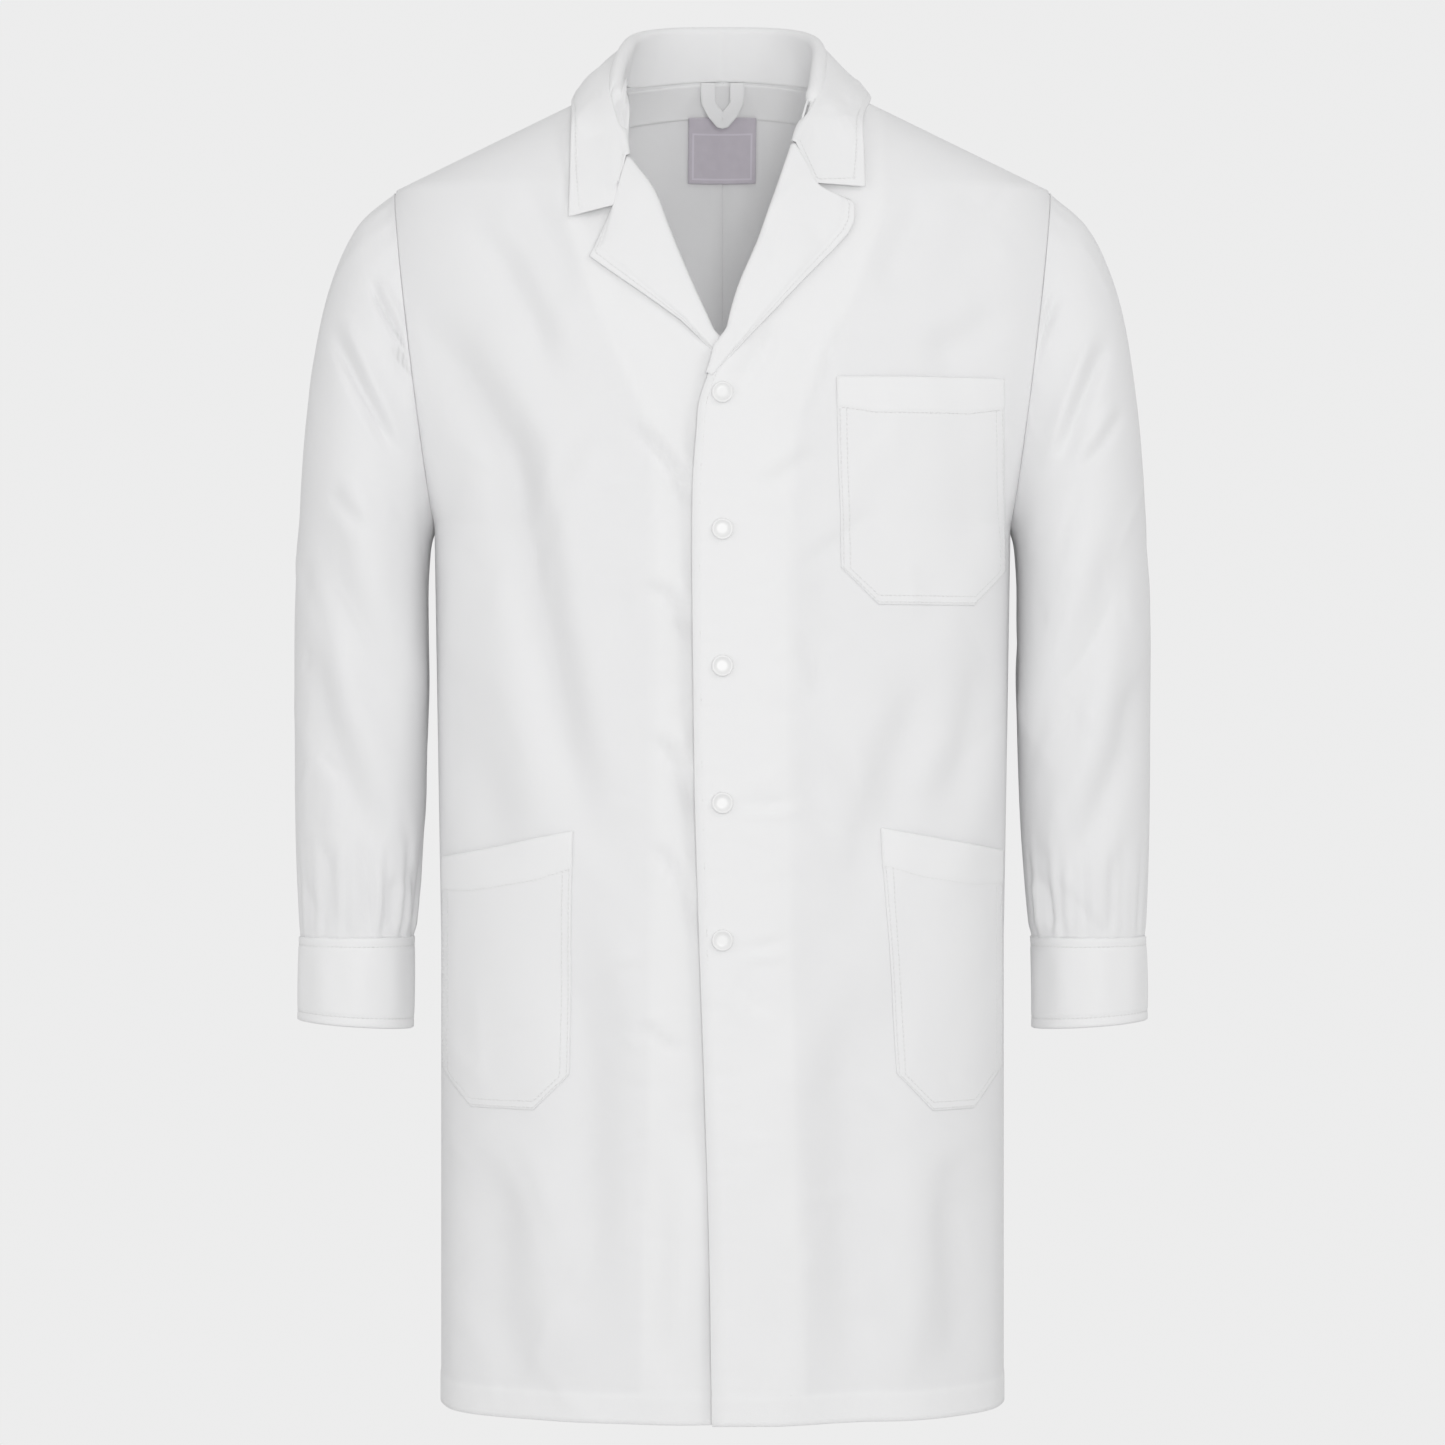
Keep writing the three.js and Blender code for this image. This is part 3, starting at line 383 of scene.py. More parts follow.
def cloth(name, grid, thickness=CLOTH, layers=None, closed=False, outwards=None):
    """A closed sheet of cloth round a grid (rows, columns, 3) in millimetres; closed joins its sides.
    `outwards` is a point that the outer skin faces away from."""
    rows, columns = grid.shape[:2]
    normal = normals_of(grid, closed)
    if outwards is not None:
        probe = normal.reshape(-1, 3) * (grid.reshape(-1, 3) - outwards)
        if probe.sum() < 0:
            normal = -normal
    half = (np.zeros((rows, columns)) + thickness)[..., None] / 2
    skins = [grid + normal * half, grid - normal * half]
    vertices = [to_frame(s).reshape(-1, 3) for s in skins]
    corner, beside, below = grid[rows // 2, 0], grid[rows // 2, 1], grid[rows // 2 + 1, 0]
    flip = float((np.cross(beside - corner, below - corner) * normal[rows // 2, 0]).sum()) < 0
    count = rows * columns
    faces = grid_faces(rows, columns, 0, flip, closed) + grid_faces(rows, columns, count, not flip, closed)
    if closed:
        rims = [[(0, j) for j in range(columns)], [(rows - 1, j) for j in range(columns)][::-1]]
    else:
        ring = [(0, j) for j in range(columns)] + [(i, columns - 1) for i in range(1, rows)]
        ring += [(rows - 1, j) for j in range(columns - 2, -1, -1)] + [(i, 0) for i in range(rows - 2, 0, -1)]
        rims = [ring]
    extra, start = [], 2 * count
    for rim in rims:
        ii, jj = np.array(rim).T
        edge = grid[ii, jj]
        run = np.roll(edge, -1, 0) - np.roll(edge, 1, 0)
        out = np.cross(run, normal[ii, jj])
        out /= np.maximum(np.linalg.norm(out, axis=1, keepdims=True), 1e-12)
        inside = grid[np.clip(ii, 1, rows - 2), jj if closed else np.clip(jj, 1, columns - 2)]
        if ((edge - inside) * out).sum() < 0:
            out = -out
        extra.append(to_frame(edge + out * half[ii, jj] * 0.8))
        n = len(rim)
        for k in range(n):
            a, b = rim[k], rim[(k + 1) % n]
            ta, tb = a[0] * columns + a[1], b[0] * columns + b[1]
            ma, mb = start + k, start + (k + 1) % n
            upper, lower = [ta, ma, mb, tb], [ta + count, tb + count, mb, ma]
            faces += [upper, lower] if not flip else [upper[::-1], lower[::-1]]
        start += n
    made = mesh_object(name, np.concatenate(vertices + extra), faces)
    steps = [np.linalg.norm(np.diff(grid, axis=k), axis=2) for k in (0, 1)]
    rows_along = np.cumsum(np.vstack([np.zeros((1, columns)), steps[0]]), 0)
    cols_along = np.cumsum(np.hstack([np.zeros((rows, 1)), steps[1]]), 1)
    flat_uv = np.stack([cols_along, rows_along], -1).reshape(-1, 2) * MM
    rim_index = [a[0] * columns + a[1] for rim in rims for a in rim]
    uv = np.concatenate([flat_uv, flat_uv, flat_uv[rim_index]])
    stack = (np.zeros((rows, columns)) + (0 if layers is None else layers)).ravel()
    stack = np.concatenate([stack, stack, stack[rim_index]])
    mesh = made.data
    loops = np.zeros(len(mesh.loops), np.int32)
    mesh.loops.foreach_get("vertex_index", loops)
    mesh.uv_layers.new(name="weave").data.foreach_set("uv", uv[loops].astype(np.float32).ravel())
    mesh.attributes.new("layers", "FLOAT", "POINT").data.foreach_set("value", stack.astype(np.float32))
    return made


def flat_size(grid):
    """Width, length and area of a grid laid flat, in metres."""
    across = np.linalg.norm(np.diff(grid, axis=1), axis=2).sum(1).max() * MM
    down = np.linalg.norm(np.diff(grid, axis=0), axis=2).sum(0).max() * MM
    a = grid[1:, :-1] - grid[:-1, :-1]
    b = grid[:-1, 1:] - grid[:-1, :-1]
    c, d = grid[1:, :-1] - grid[1:, 1:], grid[:-1, 1:] - grid[1:, 1:]
    twice = np.linalg.norm(np.cross(a, b), axis=2) + np.linalg.norm(np.cross(c, d), axis=2)
    area = twice.sum() / 2 * MM * MM
    return float(across), float(down), float(area)


PIECES = {}


def keep(name, made, grid, *nodes, body="coat_body"):
    """The piece stands for its CAD nodes, follows a body unless it is blended later, and is listed."""
    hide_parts(*nodes)
    if body:
        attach(made, body)
    PIECES[name] = (made, grid)


def declare(made, grid):
    width, length, area = flat_size(grid)
    area = min(max(area, 0.301 * width * length), width * length)
    print(f"{made.name}: {width * 1000:.0f} x {length * 1000:.0f} mm, {area:.3f} square metres")


# %% [markdown]
# Topstitching is real thread here: each stitch is a small pointed bead lying on the cloth. `stitches` lays
# beads along a path of points, each turned to the path and to the cloth's normal.

# %% Thread
STITCH_LENGTH, STITCH_GAP, STITCH_WIDTH, STITCH_HEIGHT = 2.6, 0.8, 0.55, 0.35


def resample(points, step):
    points = np.asarray(points, float)
    gaps = np.linalg.norm(np.diff(points, axis=0), axis=1)
    at = np.concatenate([[0], np.cumsum(gaps)])
    stops = np.arange(step / 2, at[-1], step)
    return np.stack([np.interp(stops, at, points[:, k]) for k in range(3)], 1), stops


def stitches(name, runs):
    """Rows of stitches as one piece; a run is (points, normals), both (n, 3), in millimetres."""
    vertices, faces = [], []
    ring = [(-0.30, 1.0), (0.0, 1.15), (0.30, 1.0)]
    for points, normals in runs:
        centres, stops = resample(points, STITCH_LENGTH + STITCH_GAP)
        gaps = np.concatenate([[0], np.cumsum(np.linalg.norm(np.diff(points, axis=0), axis=1))])
        lift = np.stack([np.interp(stops, gaps, np.asarray(normals)[:, k]) for k in range(3)], 1)
        lift /= np.linalg.norm(lift, axis=1, keepdims=True)
        run = np.gradient(centres, axis=0)
        run /= np.linalg.norm(run, axis=1, keepdims=True)
        wide = np.cross(run, lift)
        for c, r, w, n in zip(centres, run, wide, lift):
            first = len(vertices)
            vertices.append(c - r * STITCH_LENGTH / 2)
            for at, size in ring:
                for su, sv in ((1, 0), (0, 1), (-1, 0), (0, -1)):
                    vertices.append(c + r * at * STITCH_LENGTH + w * su * size * STITCH_WIDTH / 2
                                    + n * sv * size * STITCH_HEIGHT / 2)
            vertices.append(c + r * STITCH_LENGTH / 2)
            last = first + 1 + 4 * len(ring)
            for q in range(4):
                nxt = (q + 1) % 4
                faces.append([first, first + 1 + nxt, first + 1 + q])
                for level in range(len(ring) - 1):
                    a = first + 1 + 4 * level
                    faces.append([a + q, a + nxt, a + 4 + nxt, a + 4 + q])
                faces.append([last, last - 4 + q, last - 4 + nxt])
    made = mesh_object(name, to_frame(np.array(vertices)), faces)
    print(f"{name}: {len(vertices) // 14} stitches")
    return made


def run_on(place, us, vs, lift=CLOTH / 2 + 0.1):
    """A stitch run on a surface function place(u, v, offset), along the points (us, vs)."""
    us, vs = np.broadcast_arrays(np.asarray(us, float), np.asarray(vs, float))
    on = place(us, vs, 0 * us + lift)
    under = place(us, vs, 0 * us + lift - 1)
    return on, on - under

# %% [markdown]
# The fronts. Each is one piece of cloth from neck to hem: the shoulder seam on top, the armhole and side
# seam outside, and the front edge inside, where it turns into the lapel at the top stud. A turned-up hem
# makes its last 21 mm double. The loose lower corner swings open, so the cloth there bends from the fixed
# body to the corner's body, along a slanted line between the lowest stud and the side hem.

# %% Fronts and facings
FRONT_ROWS, FRONT_COLUMNS = 300, 68
HANDS = {-1: "right", 1: "left"}
FACING_EDGE = [(-110, 116), (-160, 100), (-203, 83), (-236, 68), (-262, 56), (-300, 50),
               (-640, 50), (-800, 54),
               (HEM_Z, 59)]


def front_place(side):
    def place(u, z, offset):
        inner = angle_at_x(inner_edge(side, z), z)
        return front_at(side, mix(inner, outer_angle(z, FRONT_DEPTH), u), z, offset)
    return place


def in_hem(z):
    return 1 - smooth(z, HEM_Z + HEM_BAND - 1.2, HEM_Z + HEM_BAND + 1.2)


def hem_and_edge(x, z, edge):
    """1 where the cloth is doubled by the hem, and less where the front edge is turned in."""
    return np.maximum(in_hem(z), 0.6 * (1 - smooth(x - edge, 4.5, 6.5)))


CORNER_ACROSS, CORNER_REACH = np.array([-0.849, 0.0, -0.528]), 188.0


def bend_corner(made, side):
    """The lower front corner follows its own body, bending along a slanted line."""
    start = np.array([0.0, 0.0, SKIRT_Z - 8])
    first, last = (to_frame(p * [side, 1, 1]) for p in (start, start + CORNER_ACROSS * CORNER_REACH))
    first[1] = last[1] = -0.18
    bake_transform(made, "coat_body", f"{HANDS[side]}_skirt", start=tuple(first), end=tuple(last))


for side, hand in HANDS.items():
    v, u = np.meshgrid(np.linspace(HEM_Z, NECK_Z, FRONT_ROWS), np.linspace(0, 1, FRONT_COLUMNS),
                       indexing="ij")
    place = front_place(side)
    grid = place(u, v, 0 * u)
    x = grid[..., 0] * side
    edge = inner_edge(side, v)
    doubled = hem_and_edge(x, v, edge)
    over_facing = 1 - smooth(x - along(FACING_EDGE, v), -3.5, 3.5)
    grid = place(u, v, 0.25 * doubled)
    made = cloth(f"front_{hand}_cloth", grid, CLOTH + SECOND_LAYER * doubled,
                 np.maximum(doubled, over_facing), outwards=BODY_CORE)
    keep(f"front_{hand}", made, grid, f"front_{hand}", f"front_{hand}_skirt", body=None)

    z = np.linspace(HEM_Z + 1.5, BREAK_Z - 24, 240)
    v, u = np.meshgrid(z, np.linspace(0, 1, 22), indexing="ij")
    inner = inner_edge(side, v) + 1.2
    outer = np.minimum(along(FACING_EDGE, v), inner_edge(side, v) + FACING_WIDTH)
    grid = front_point(side, mix(inner, outer, u), v, -LAYER + 0 * u)
    made = cloth(f"facing_{hand}_cloth", grid, CLOTH, 1.0, outwards=BODY_CORE)
    keep(f"facing_{hand}", made, grid, f"facing_{hand}", f"facing_{hand}_skirt", body=None)

# %% [markdown]
# A lapel is the top of the facing. It runs up inside the front, turns round the roll line in a soft fold,
# and lies back on the chest. The left one has a blunt end with an open notch; the right one hangs lower and
# ends in a point.

# %% Lapels
LAPEL_OUTLINE = {
    -1: [(-2, -228), (8, -216), (29, -196), (58.5, -175), (94, -150), (91, -144),
         (84.5, -128), (77.6, -113.2)],
    1: [(-7, -236), (4, -224), (24, -203), (54, -171), (80, -143), (89, -133), (93.5, -124), (94, -112),
        (91.5, -108.5), (80, -107.5), (73, -104.5), (66.6, -96.9)],
}
LAPEL_FOOT = {-1: -226.0, 1: -234.0}


def polyline(points, share):
    points = np.array(points, float)
    at = np.concatenate([[0], np.cumsum(np.linalg.norm(np.diff(points, axis=0), axis=1))])
    at /= at[-1]
    return np.stack([np.interp(share, at, points[:, k]) for k in range(points.shape[1])], -1)


def lapel_place(side):
    inside_end, fold_end = 0.3, 0.46

    def place(u, v, offset):
        z = mix(LAPEL_FOOT[side], GORGE[side][1] - 1.2, v)
        bend = mix(1.4, FOLD_RADIUS, smooth(v, 0, 0.25))
        level_out = 2 * bend - LAYER
        fold_x = inner_edge(side, z) - 0.6 * bend
        outline = polyline(LAPEL_OUTLINE[side], v)
        turn = np.pi * np.clip((u - inside_end) / (fold_end - inside_end), 0, 1)
        radius = bend + offset
        t = np.clip((u - fold_end) / (1 - fold_end), 0, 1)
        inside_x = fold_x + FACING_WIDTH * 0.6 * (1 - u / inside_end)
        soft = 1.6 * np.sin(np.pi * t) * smooth(v, 0.05, 0.5) - 1.5 * smooth(t, 0.75, 1)
        x = np.where(u < inside_end, inside_x, np.where(u < fold_end, fold_x - radius * np.sin(turn),
                                                        mix(fold_x, outline[..., 0], t)))
        row = np.where(u > fold_end, mix(z, outline[..., 1], t), z)
        level = np.where(u < inside_end, -LAYER - offset,
                         np.where(u < fold_end, level_out - bend - radius * np.cos(turn),
                                  level_out + offset + soft))
        return front_point(side, x, row, level)
    return place


for side, hand in HANDS.items():
    v, u = np.meshgrid(np.linspace(0, 1, 90), np.linspace(0, 1, 96), indexing="ij")
    place = lapel_place(side)
    rim = np.exp(-(((1 - u) - 0.075) / 0.012) ** 2) * (u > 0.5)
    grid = place(u, v, -0.25 * rim)
    made = cloth(f"lapel_{hand}_cloth", grid, CLOTH + SECOND_LAYER * (u > 0.46), 0.9)
    keep(f"lapel_{hand}", made, grid, f"lapel_{hand}")

# %% [markdown]
# The backs meet at a seam down the middle of the back, and their sides meet the fronts.

# %% Backs and neck facing
def back_place(side):
    def place(u, z, offset):
        width = half_width(z, along(BACK_DEPTH, z))
        inner = np.arcsin((SEAM_GAP / 2 / width) ** (SECTION_POWER / 2))
        return back_point(side, mix(inner, outer_angle(z, BACK_DEPTH), u), z, offset)
    return place


for side, hand in HANDS.items():
    v, u = np.meshgrid(np.linspace(HEM_Z, NECK_Z, FRONT_ROWS), np.linspace(0, 1, 66), indexing="ij")
    place = back_place(side)
    doubled = in_hem(v)
    flat = place(u, v, 0 * u)
    seam = np.exp(-((flat[..., 0] * side - 7) / 5.0) ** 2)
    grid = place(u, v, 0.25 * doubled + 0.35 * seam - 0.5 * np.exp(-(flat[..., 0] * side / 1.2) ** 2))
    made = cloth(f"back_{hand}_cloth", grid, CLOTH + SECOND_LAYER * doubled, doubled, outwards=BODY_CORE)
    keep(f"back_{hand}", made, grid, f"back_{hand}")


def across_back(x, z, offset):
    """A point inside the back of the neck, x counted from the centre."""
    point = body_point(np.pi - angle_at_x(x, z, BACK_DEPTH), z, offset)
    rise = smooth(z, SHOULDER_Z, NECK_Z) * -NECK_Z
    point[..., 2] += rise * np.clip(1 - (x / NECK_HALF) ** 2, 0, 1)
    return point


v, u = np.meshgrid(np.linspace(-34, -12.5, 16), np.linspace(-71, 71, 100), indexing="ij")
grid = across_back(u, v, -0.95 + 0.12 * np.sin(u / 9.0) * np.sin(v / 5.0))
neck_facing = cloth("neck_facing_cloth", grid, 0.6, 1.0, outwards=(0, 0, -20.0))
keep("neck_facing", neck_facing, grid, "neck_facing")
print("panels:", len(PIECES))

# %% [markdown]
# The collar is one long piece that stands up inside the neck, rolls over, and falls outside. Three curves
# rule it: the base sewn to the neck, the roll on top, and the outer edge. Every station along it is a
# stand, a half turn, and a leaf that dips a little between the roll and its edge.

# %% Collar
COLLAR_STAND_OFF = 7.0


def curve(points, count=400):
    """A smooth curve through points, as count points at even distances."""
    points = np.array(points, float)
    at = np.concatenate([[0], np.cumsum(np.linalg.norm(np.diff(points, axis=0), axis=1) ** 0.6)])
    fine = np.linspace(0, at[-1], 1200)
    line = np.stack([along(list(zip(-at, points[:, k])), -fine) for k in range(3)], 1)
    run = np.concatenate([[0], np.cumsum(np.linalg.norm(np.diff(line, axis=0), axis=1))])
    stops = np.linspace(0, run[-1], count)
    return np.stack([np.interp(stops, run, line[:, k]) for k in range(3)], 1)


def unsided(side, x, z, offset):
    point = front_point(side, x, z, offset)
    point[..., 0] = np.abs(point[..., 0])
    return point


def fall_at(degrees, z):
    """A point of the collar's outer edge, at an angle round the body."""
    angle = math.radians(degrees)
    point = with_neck_rise(body_point(angle, np.array(z, float), COLLAR_STAND_OFF), z)
    return np.abs(point) * [1, 1, 0] * [1, np.sign(point[1]), 0] + [0, 0, point[2]]


def collar_curves(side):
    gorge_x, gorge_z = GORGE[side]
    at_edge = []
    for share in (0.35, 0.7):
        z = mix(NECK_Z, gorge_z, share)
        x = float(inner_edge(side, z))
        at_edge.append(unsided(side, x, z, 0.0) * [0, 1, 1] + [x - FOLD_ROOM / 2, 0, 0])
    last = float(inner_edge(side, gorge_z + 5))
    at_edge.append(unsided(side, last, gorge_z + 5, 0.0) * [0, 1, 1] + [last - FOLD_ROOM / 2, 0, 0])
    seam = []
    for x in (0.0, 20.0, 38.0, 54.0, 66.0, 73.0):
        y = NECK_BACK * (1 - (x / NECK_HALF) ** SECTION_POWER) ** (1 / SECTION_POWER)
        seam.append((x, y - 0.3, NECK_Z - NECK_Z * (1 - (x / NECK_HALF) ** 2) + 0.4))
    base = curve([*seam, *at_edge])
    wide = gorge_x - 57.0
    roll = curve([(0, NECK_BACK - 3, COLLAR_STAND), (36, NECK_BACK - 10, COLLAR_STAND - 2),
                  (58, NECK_BACK * 0.5, COLLAR_STAND - 9), (66, 4, COLLAR_STAND - 21),
                  (68 + 0.4 * wide, -24, -6), (67 + 0.8 * wide, -48, -36),
                  unsided(side, gorge_x + 3.6, gorge_z + 2, 0.4)])
    tip_x, tip_z = COLLAR_TIP[side]
    bottom = COLLAR_STAND - COLLAR_FALL
    edge = curve([fall_at(180, bottom - 12), fall_at(150, bottom - 13), fall_at(122, bottom - 15),
                  fall_at(92, bottom - 16), unsided(side, tip_x - 2, -50, LAPEL_LEVEL + 3),
                  unsided(side, tip_x - 0.5, mix(-50, tip_z, 0.6), LAPEL_LEVEL + 0.5),
                  unsided(side, tip_x, tip_z, LAPEL_LEVEL)])
    notch_x, notch_z = NOTCH[side]
    return base, roll, edge, unsided(side, notch_x, notch_z, LAPEL_LEVEL + 0.6)


CURVES = {side: collar_curves(side) for side in HANDS}
STAND_END, FOLD_END = 0.28, 0.48
COLLAR_THICKNESS, UNDER_COLLAR_DEPTH = 1.5, 1.5


def unit(vector):
    return vector / np.maximum(np.linalg.norm(vector, axis=-1, keepdims=True), 1e-12)


def collar_half(side, s, t):
    base_line, roll_line, edge_line, notch = CURVES[side]
    stations = np.linspace(0, 1, len(base_line))
    base, roll, edge = (np.stack([np.interp(s, stations, c[:, k]) for k in range(3)], -1)
                        for c in (base_line, roll_line, edge_line))
    s3, t3 = s[..., None], t[..., None]
    out = unit((edge - roll) * [1, 1, 0])
    out = unit(mix(out, np.array([0, -1.0, 0]), smooth(s3, 0.6, 1)))
    up = roll - base
    up = unit(up - out * (up * out).sum(-1, keepdims=True))
    up = unit(mix(up, np.array([-0.94, 0, 0.34]), smooth(s3, 0.75, 1)))
    stand = mix(base, roll, np.clip(t3 / STAND_END, 0, 1))
    radius = mix(COLLAR_FOLD, FOLD_RADIUS, smooth(s3, 0.7, 1))
    centre = roll + out * radius
    turn = np.pi * np.clip((t3 - STAND_END) / (FOLD_END - STAND_END), 0, 1)
    fold_part = centre - out * radius * np.cos(turn) + up * radius * np.sin(turn)
    leaf_start = centre + out * radius
    share = np.clip((t3 - FOLD_END) / (1 - FOLD_END), 0, 1)
    middle = mix(leaf_start, edge, 0.5) + out * 4 * (1 - smooth(s3, 0.5, 0.9))
    middle = mix(middle, notch, smooth(s3, 0.86, 1) ** 1.5)
    bend = 4 * share * (1 - share)
    straight = np.where(share < 0.5, mix(leaf_start, middle, share * 2), mix(middle, edge, share * 2 - 1))
    curved = mix(leaf_start, edge, share) + (middle - mix(leaf_start, edge, 0.5)) * bend
    leaf = mix(curved, straight, smooth(s3, 0.84, 0.97))
    point = np.where(t3 <= STAND_END, stand, np.where(t3 < FOLD_END, fold_part, leaf))
    return point * [side, 1, 1]


def collar_flat(u, t):
    s = np.abs(2 * u - 1)
    return np.where((u < 0.5)[..., None], collar_half(-1, s, t), collar_half(1, s, t))


def collar_place(u, t, offset):
    step = 0.006
    run = collar_flat(np.clip(u + step, 0, 1), t) - collar_flat(np.clip(u - step, 0, 1), t)
    over = collar_flat(u, np.clip(t + step, 0, 1)) - collar_flat(u, np.clip(t - step, 0, 1))
    return collar_flat(u, t) + unit(np.cross(run, over)) * np.asarray(offset)[..., None]


def collar_relief(u, t):
    s = 2 * u - 1
    stand = np.exp(-((t - 0.16) / 0.1) ** 2)
    stand = stand * smooth(np.abs(s), 0.07, 0.2) * (1 - smooth(np.abs(s), 0.5, 0.8))
    relief = 0.9 * stand * (np.sin(s * 21) + 0.6 * np.sin(s * 37 + 1))
    leaf = smooth(t, 0.5, 0.62) * (1 - smooth(t, 0.93, 1))
    relief += 0.8 * leaf * (np.sin(s * 15 + t * 5) + 0.5 * np.sin(s * 31 - t * 8))
    relief += leaf * creases(s * 230, t * 110, 71, 70, (-230, 230, 50, 110), (20, 160), (12, 50), (3, 7),
                             (-0.7, 0.7))
    return relief


t, u = np.meshgrid(np.linspace(0, 1, 84), np.linspace(0, 1, 300), indexing="ij")
groove = np.exp(-(((1 - t) - 0.06) / 0.012) ** 2)
grid = collar_place(u, t, collar_relief(u, t) - 0.3 * groove)
collar = cloth("collar_cloth", grid, COLLAR_THICKNESS, 0.9, outwards=(0, 0, -200.0))
keep("collar", collar, grid, "collar_upper")
t, u = np.meshgrid(np.linspace(0.54, 0.965, 40), np.linspace(0.06, 0.94, 220), indexing="ij")
grid = collar_place(u, t, collar_relief(u, t) - UNDER_COLLAR_DEPTH)
under = cloth("under_collar_cloth", grid, CLOTH, 0.9, outwards=(0, 0, -200.0))
keep("under_collar", under, grid, "collar_under")
print("collar round its outer edge:", round(flat_size(PIECES["collar"][1])[0] * 1000), "mm")

# %% [markdown]
# A sleeve is a tube set into the leaning armhole at one end and gathered into a cuff at the other. Its rings
# are ellipses whose outer and inner points are given down its length. Sharp creases run down from the
# armhole where the arm hangs, and small gathers crowd above the cuff on its inner side.

# %% Sleeves and cuffs
WRIST_Z, CUFF_TOP_X, CUFF_WIDTH, CUFF_HEIGHT, CUFF_HALF_DEPTH = -638.0, 310.0, 82.0, 60.0, 38
CUFF_THICKNESS, CUFF_SLANT, ARM_RIDGE = 2.2, 6, 0.7
CUFF_SEAMS = (0.09, 0.9)
# Outer point, inner point and half depth of each ring, from the armhole down.
RINGS = {
    "x1": [240, 269.6, 291.8, 304.4, 310.3, 314, 314, 313.3, 310],
    "z1": [-92, -119.3, -173.9, -250.3, -326.8, -408.7, -490.6, -567, -638],
    "x0": [211, 214.5, 216, 217, 217, 217, 218, 221, 228],
    "z0": [-338, -350, -364, -384, -414, -458, -512.4, -572.5, -638],
    "depth": [58, 66, 71, 74, 74, 68, 60, 50, 38],
}
ARM_FOLDS = {
    -1: [([(256, -160), (247, -178), (236, -199), (222, -222)], 3.6, 3.8),
         ([(286, -186), (274, -212), (260, -241), (246, -268), (233, -296)], 6, 4.4),
         ([(242, -212), (232, -221), (219, -236)], 2.6, 1.8),
         ([(284, -310), (272, -326), (256, -346)], 7, 1.8),
         ([(296, -300), (276, -380), (252, -450), (234, -500)], 15, 3.4),
         ([(304, -400), (286, -480), (262, -545), (246, -590)], 13, 3.6),
         ([(262, -560), (258, -590), (256, -634)], 4, 1.6), ([(238, -590), (240, -612), (242, -636)], 4, 2.0),
         ([(288, -560), (286, -600), (284, -636)], 6, 1.4)],
    1: [([(244, -168), (236, -188), (226, -210), (217, -232)], 4, 3.2),
        ([(282, -196), (268, -226), (254, -262), (240, -304)], 6.5, 4.2),
        ([(292, -250), (274, -280), (256, -300)], 5, 1.8),
        ([(290, -330), (272, -400), (252, -460), (236, -520)], 14, 3.4),
        ([(304, -420), (290, -500), (266, -560), (248, -600)], 12, 3.2),
        ([(232, -590), (238, -612), (242, -636)], 4, 2.0), ([(258, -580), (256, -610), (254, -636)], 4, 1.4),
        ([(286, -566), (284, -600), (286, -636)], 5, 1.4)],
}


def ring(v, angle, offset):
    """A point of the left sleeve: v counts the rings, angle 0 is outside and 90 degrees is in front."""
    x1, z1, x0, z0, depth = (along([(-i, value) for i, value in enumerate(RINGS[key])], -np.asarray(v, float))
                             for key in ("x1", "z1", "x0", "z0", "depth"))
    half_x, half_z = (x1 - x0) / 2, (z1 - z0) / 2
    reach = np.hypot(half_x, half_z)
    grow = (reach + offset) / reach * np.cos(angle)
    y = -(depth + offset) * np.sin(angle)
    return np.stack([(x0 + x1) / 2 + half_x * grow, y, (z0 + z1) / 2 + half_z * grow], -1)


def arm_relief(side, v, angle):
    point = ring(v, angle, 0.0)
    x, z = point[..., 0], point[..., 2]
    front = smooth(np.sin(angle), 0.0, 0.35)
    relief = sum(fold(x, z, path, width, ARM_FOLD_GAIN * depth, ARM_RIDGE)
                 for path, width, depth in ARM_FOLDS[side]) * front
    # The back of a sleeve borrows the other sleeve's folds, moved a little, wider and shallower.
    behind = sum(fold(x, z, [(px + 3, pz - 8 * side) for px, pz in path], width * 1.2, depth * 0.9, ARM_RIDGE)
                 for path, width, depth in ARM_FOLDS[-side]) * smooth(-np.sin(angle), 0.0, 0.35)
    relief = relief + behind
    around = (angle % (2 * np.pi)) * 60
    relief += creases(around, z, 91 + side, 130, (0, 377, -640, -90), (40, 140), (18, 80), (3, 10),
                      (-1.2, 1.0))
    inner = smooth(-np.cos(angle), -0.5, 0.6)
    near_cuff = smooth(v, 6.6, 7.9)
    relief += near_cuff * (0.5 + 0.8 * inner) * (np.sin(angle * 17 + side) + 0.6 * np.sin(angle * 29))
    near_hole = 1 - smooth(v, 0.0, 0.9)
    relief += 0.5 * near_hole * np.sin(angle * 26 + side)
    return relief * smooth(v, 0.0, 0.25) * (1 - 0.7 * smooth(v, 7.85, 8))


def sleeve_place(side):
    def place(angle, v, offset):
        point = ring(v, angle, offset + arm_relief(side, v, angle))
        point[..., 0] += (SEAM_GAP + 0.3) * (1 - smooth(v, 0, 0.05))
        return point * [side, 1, 1]
    return place


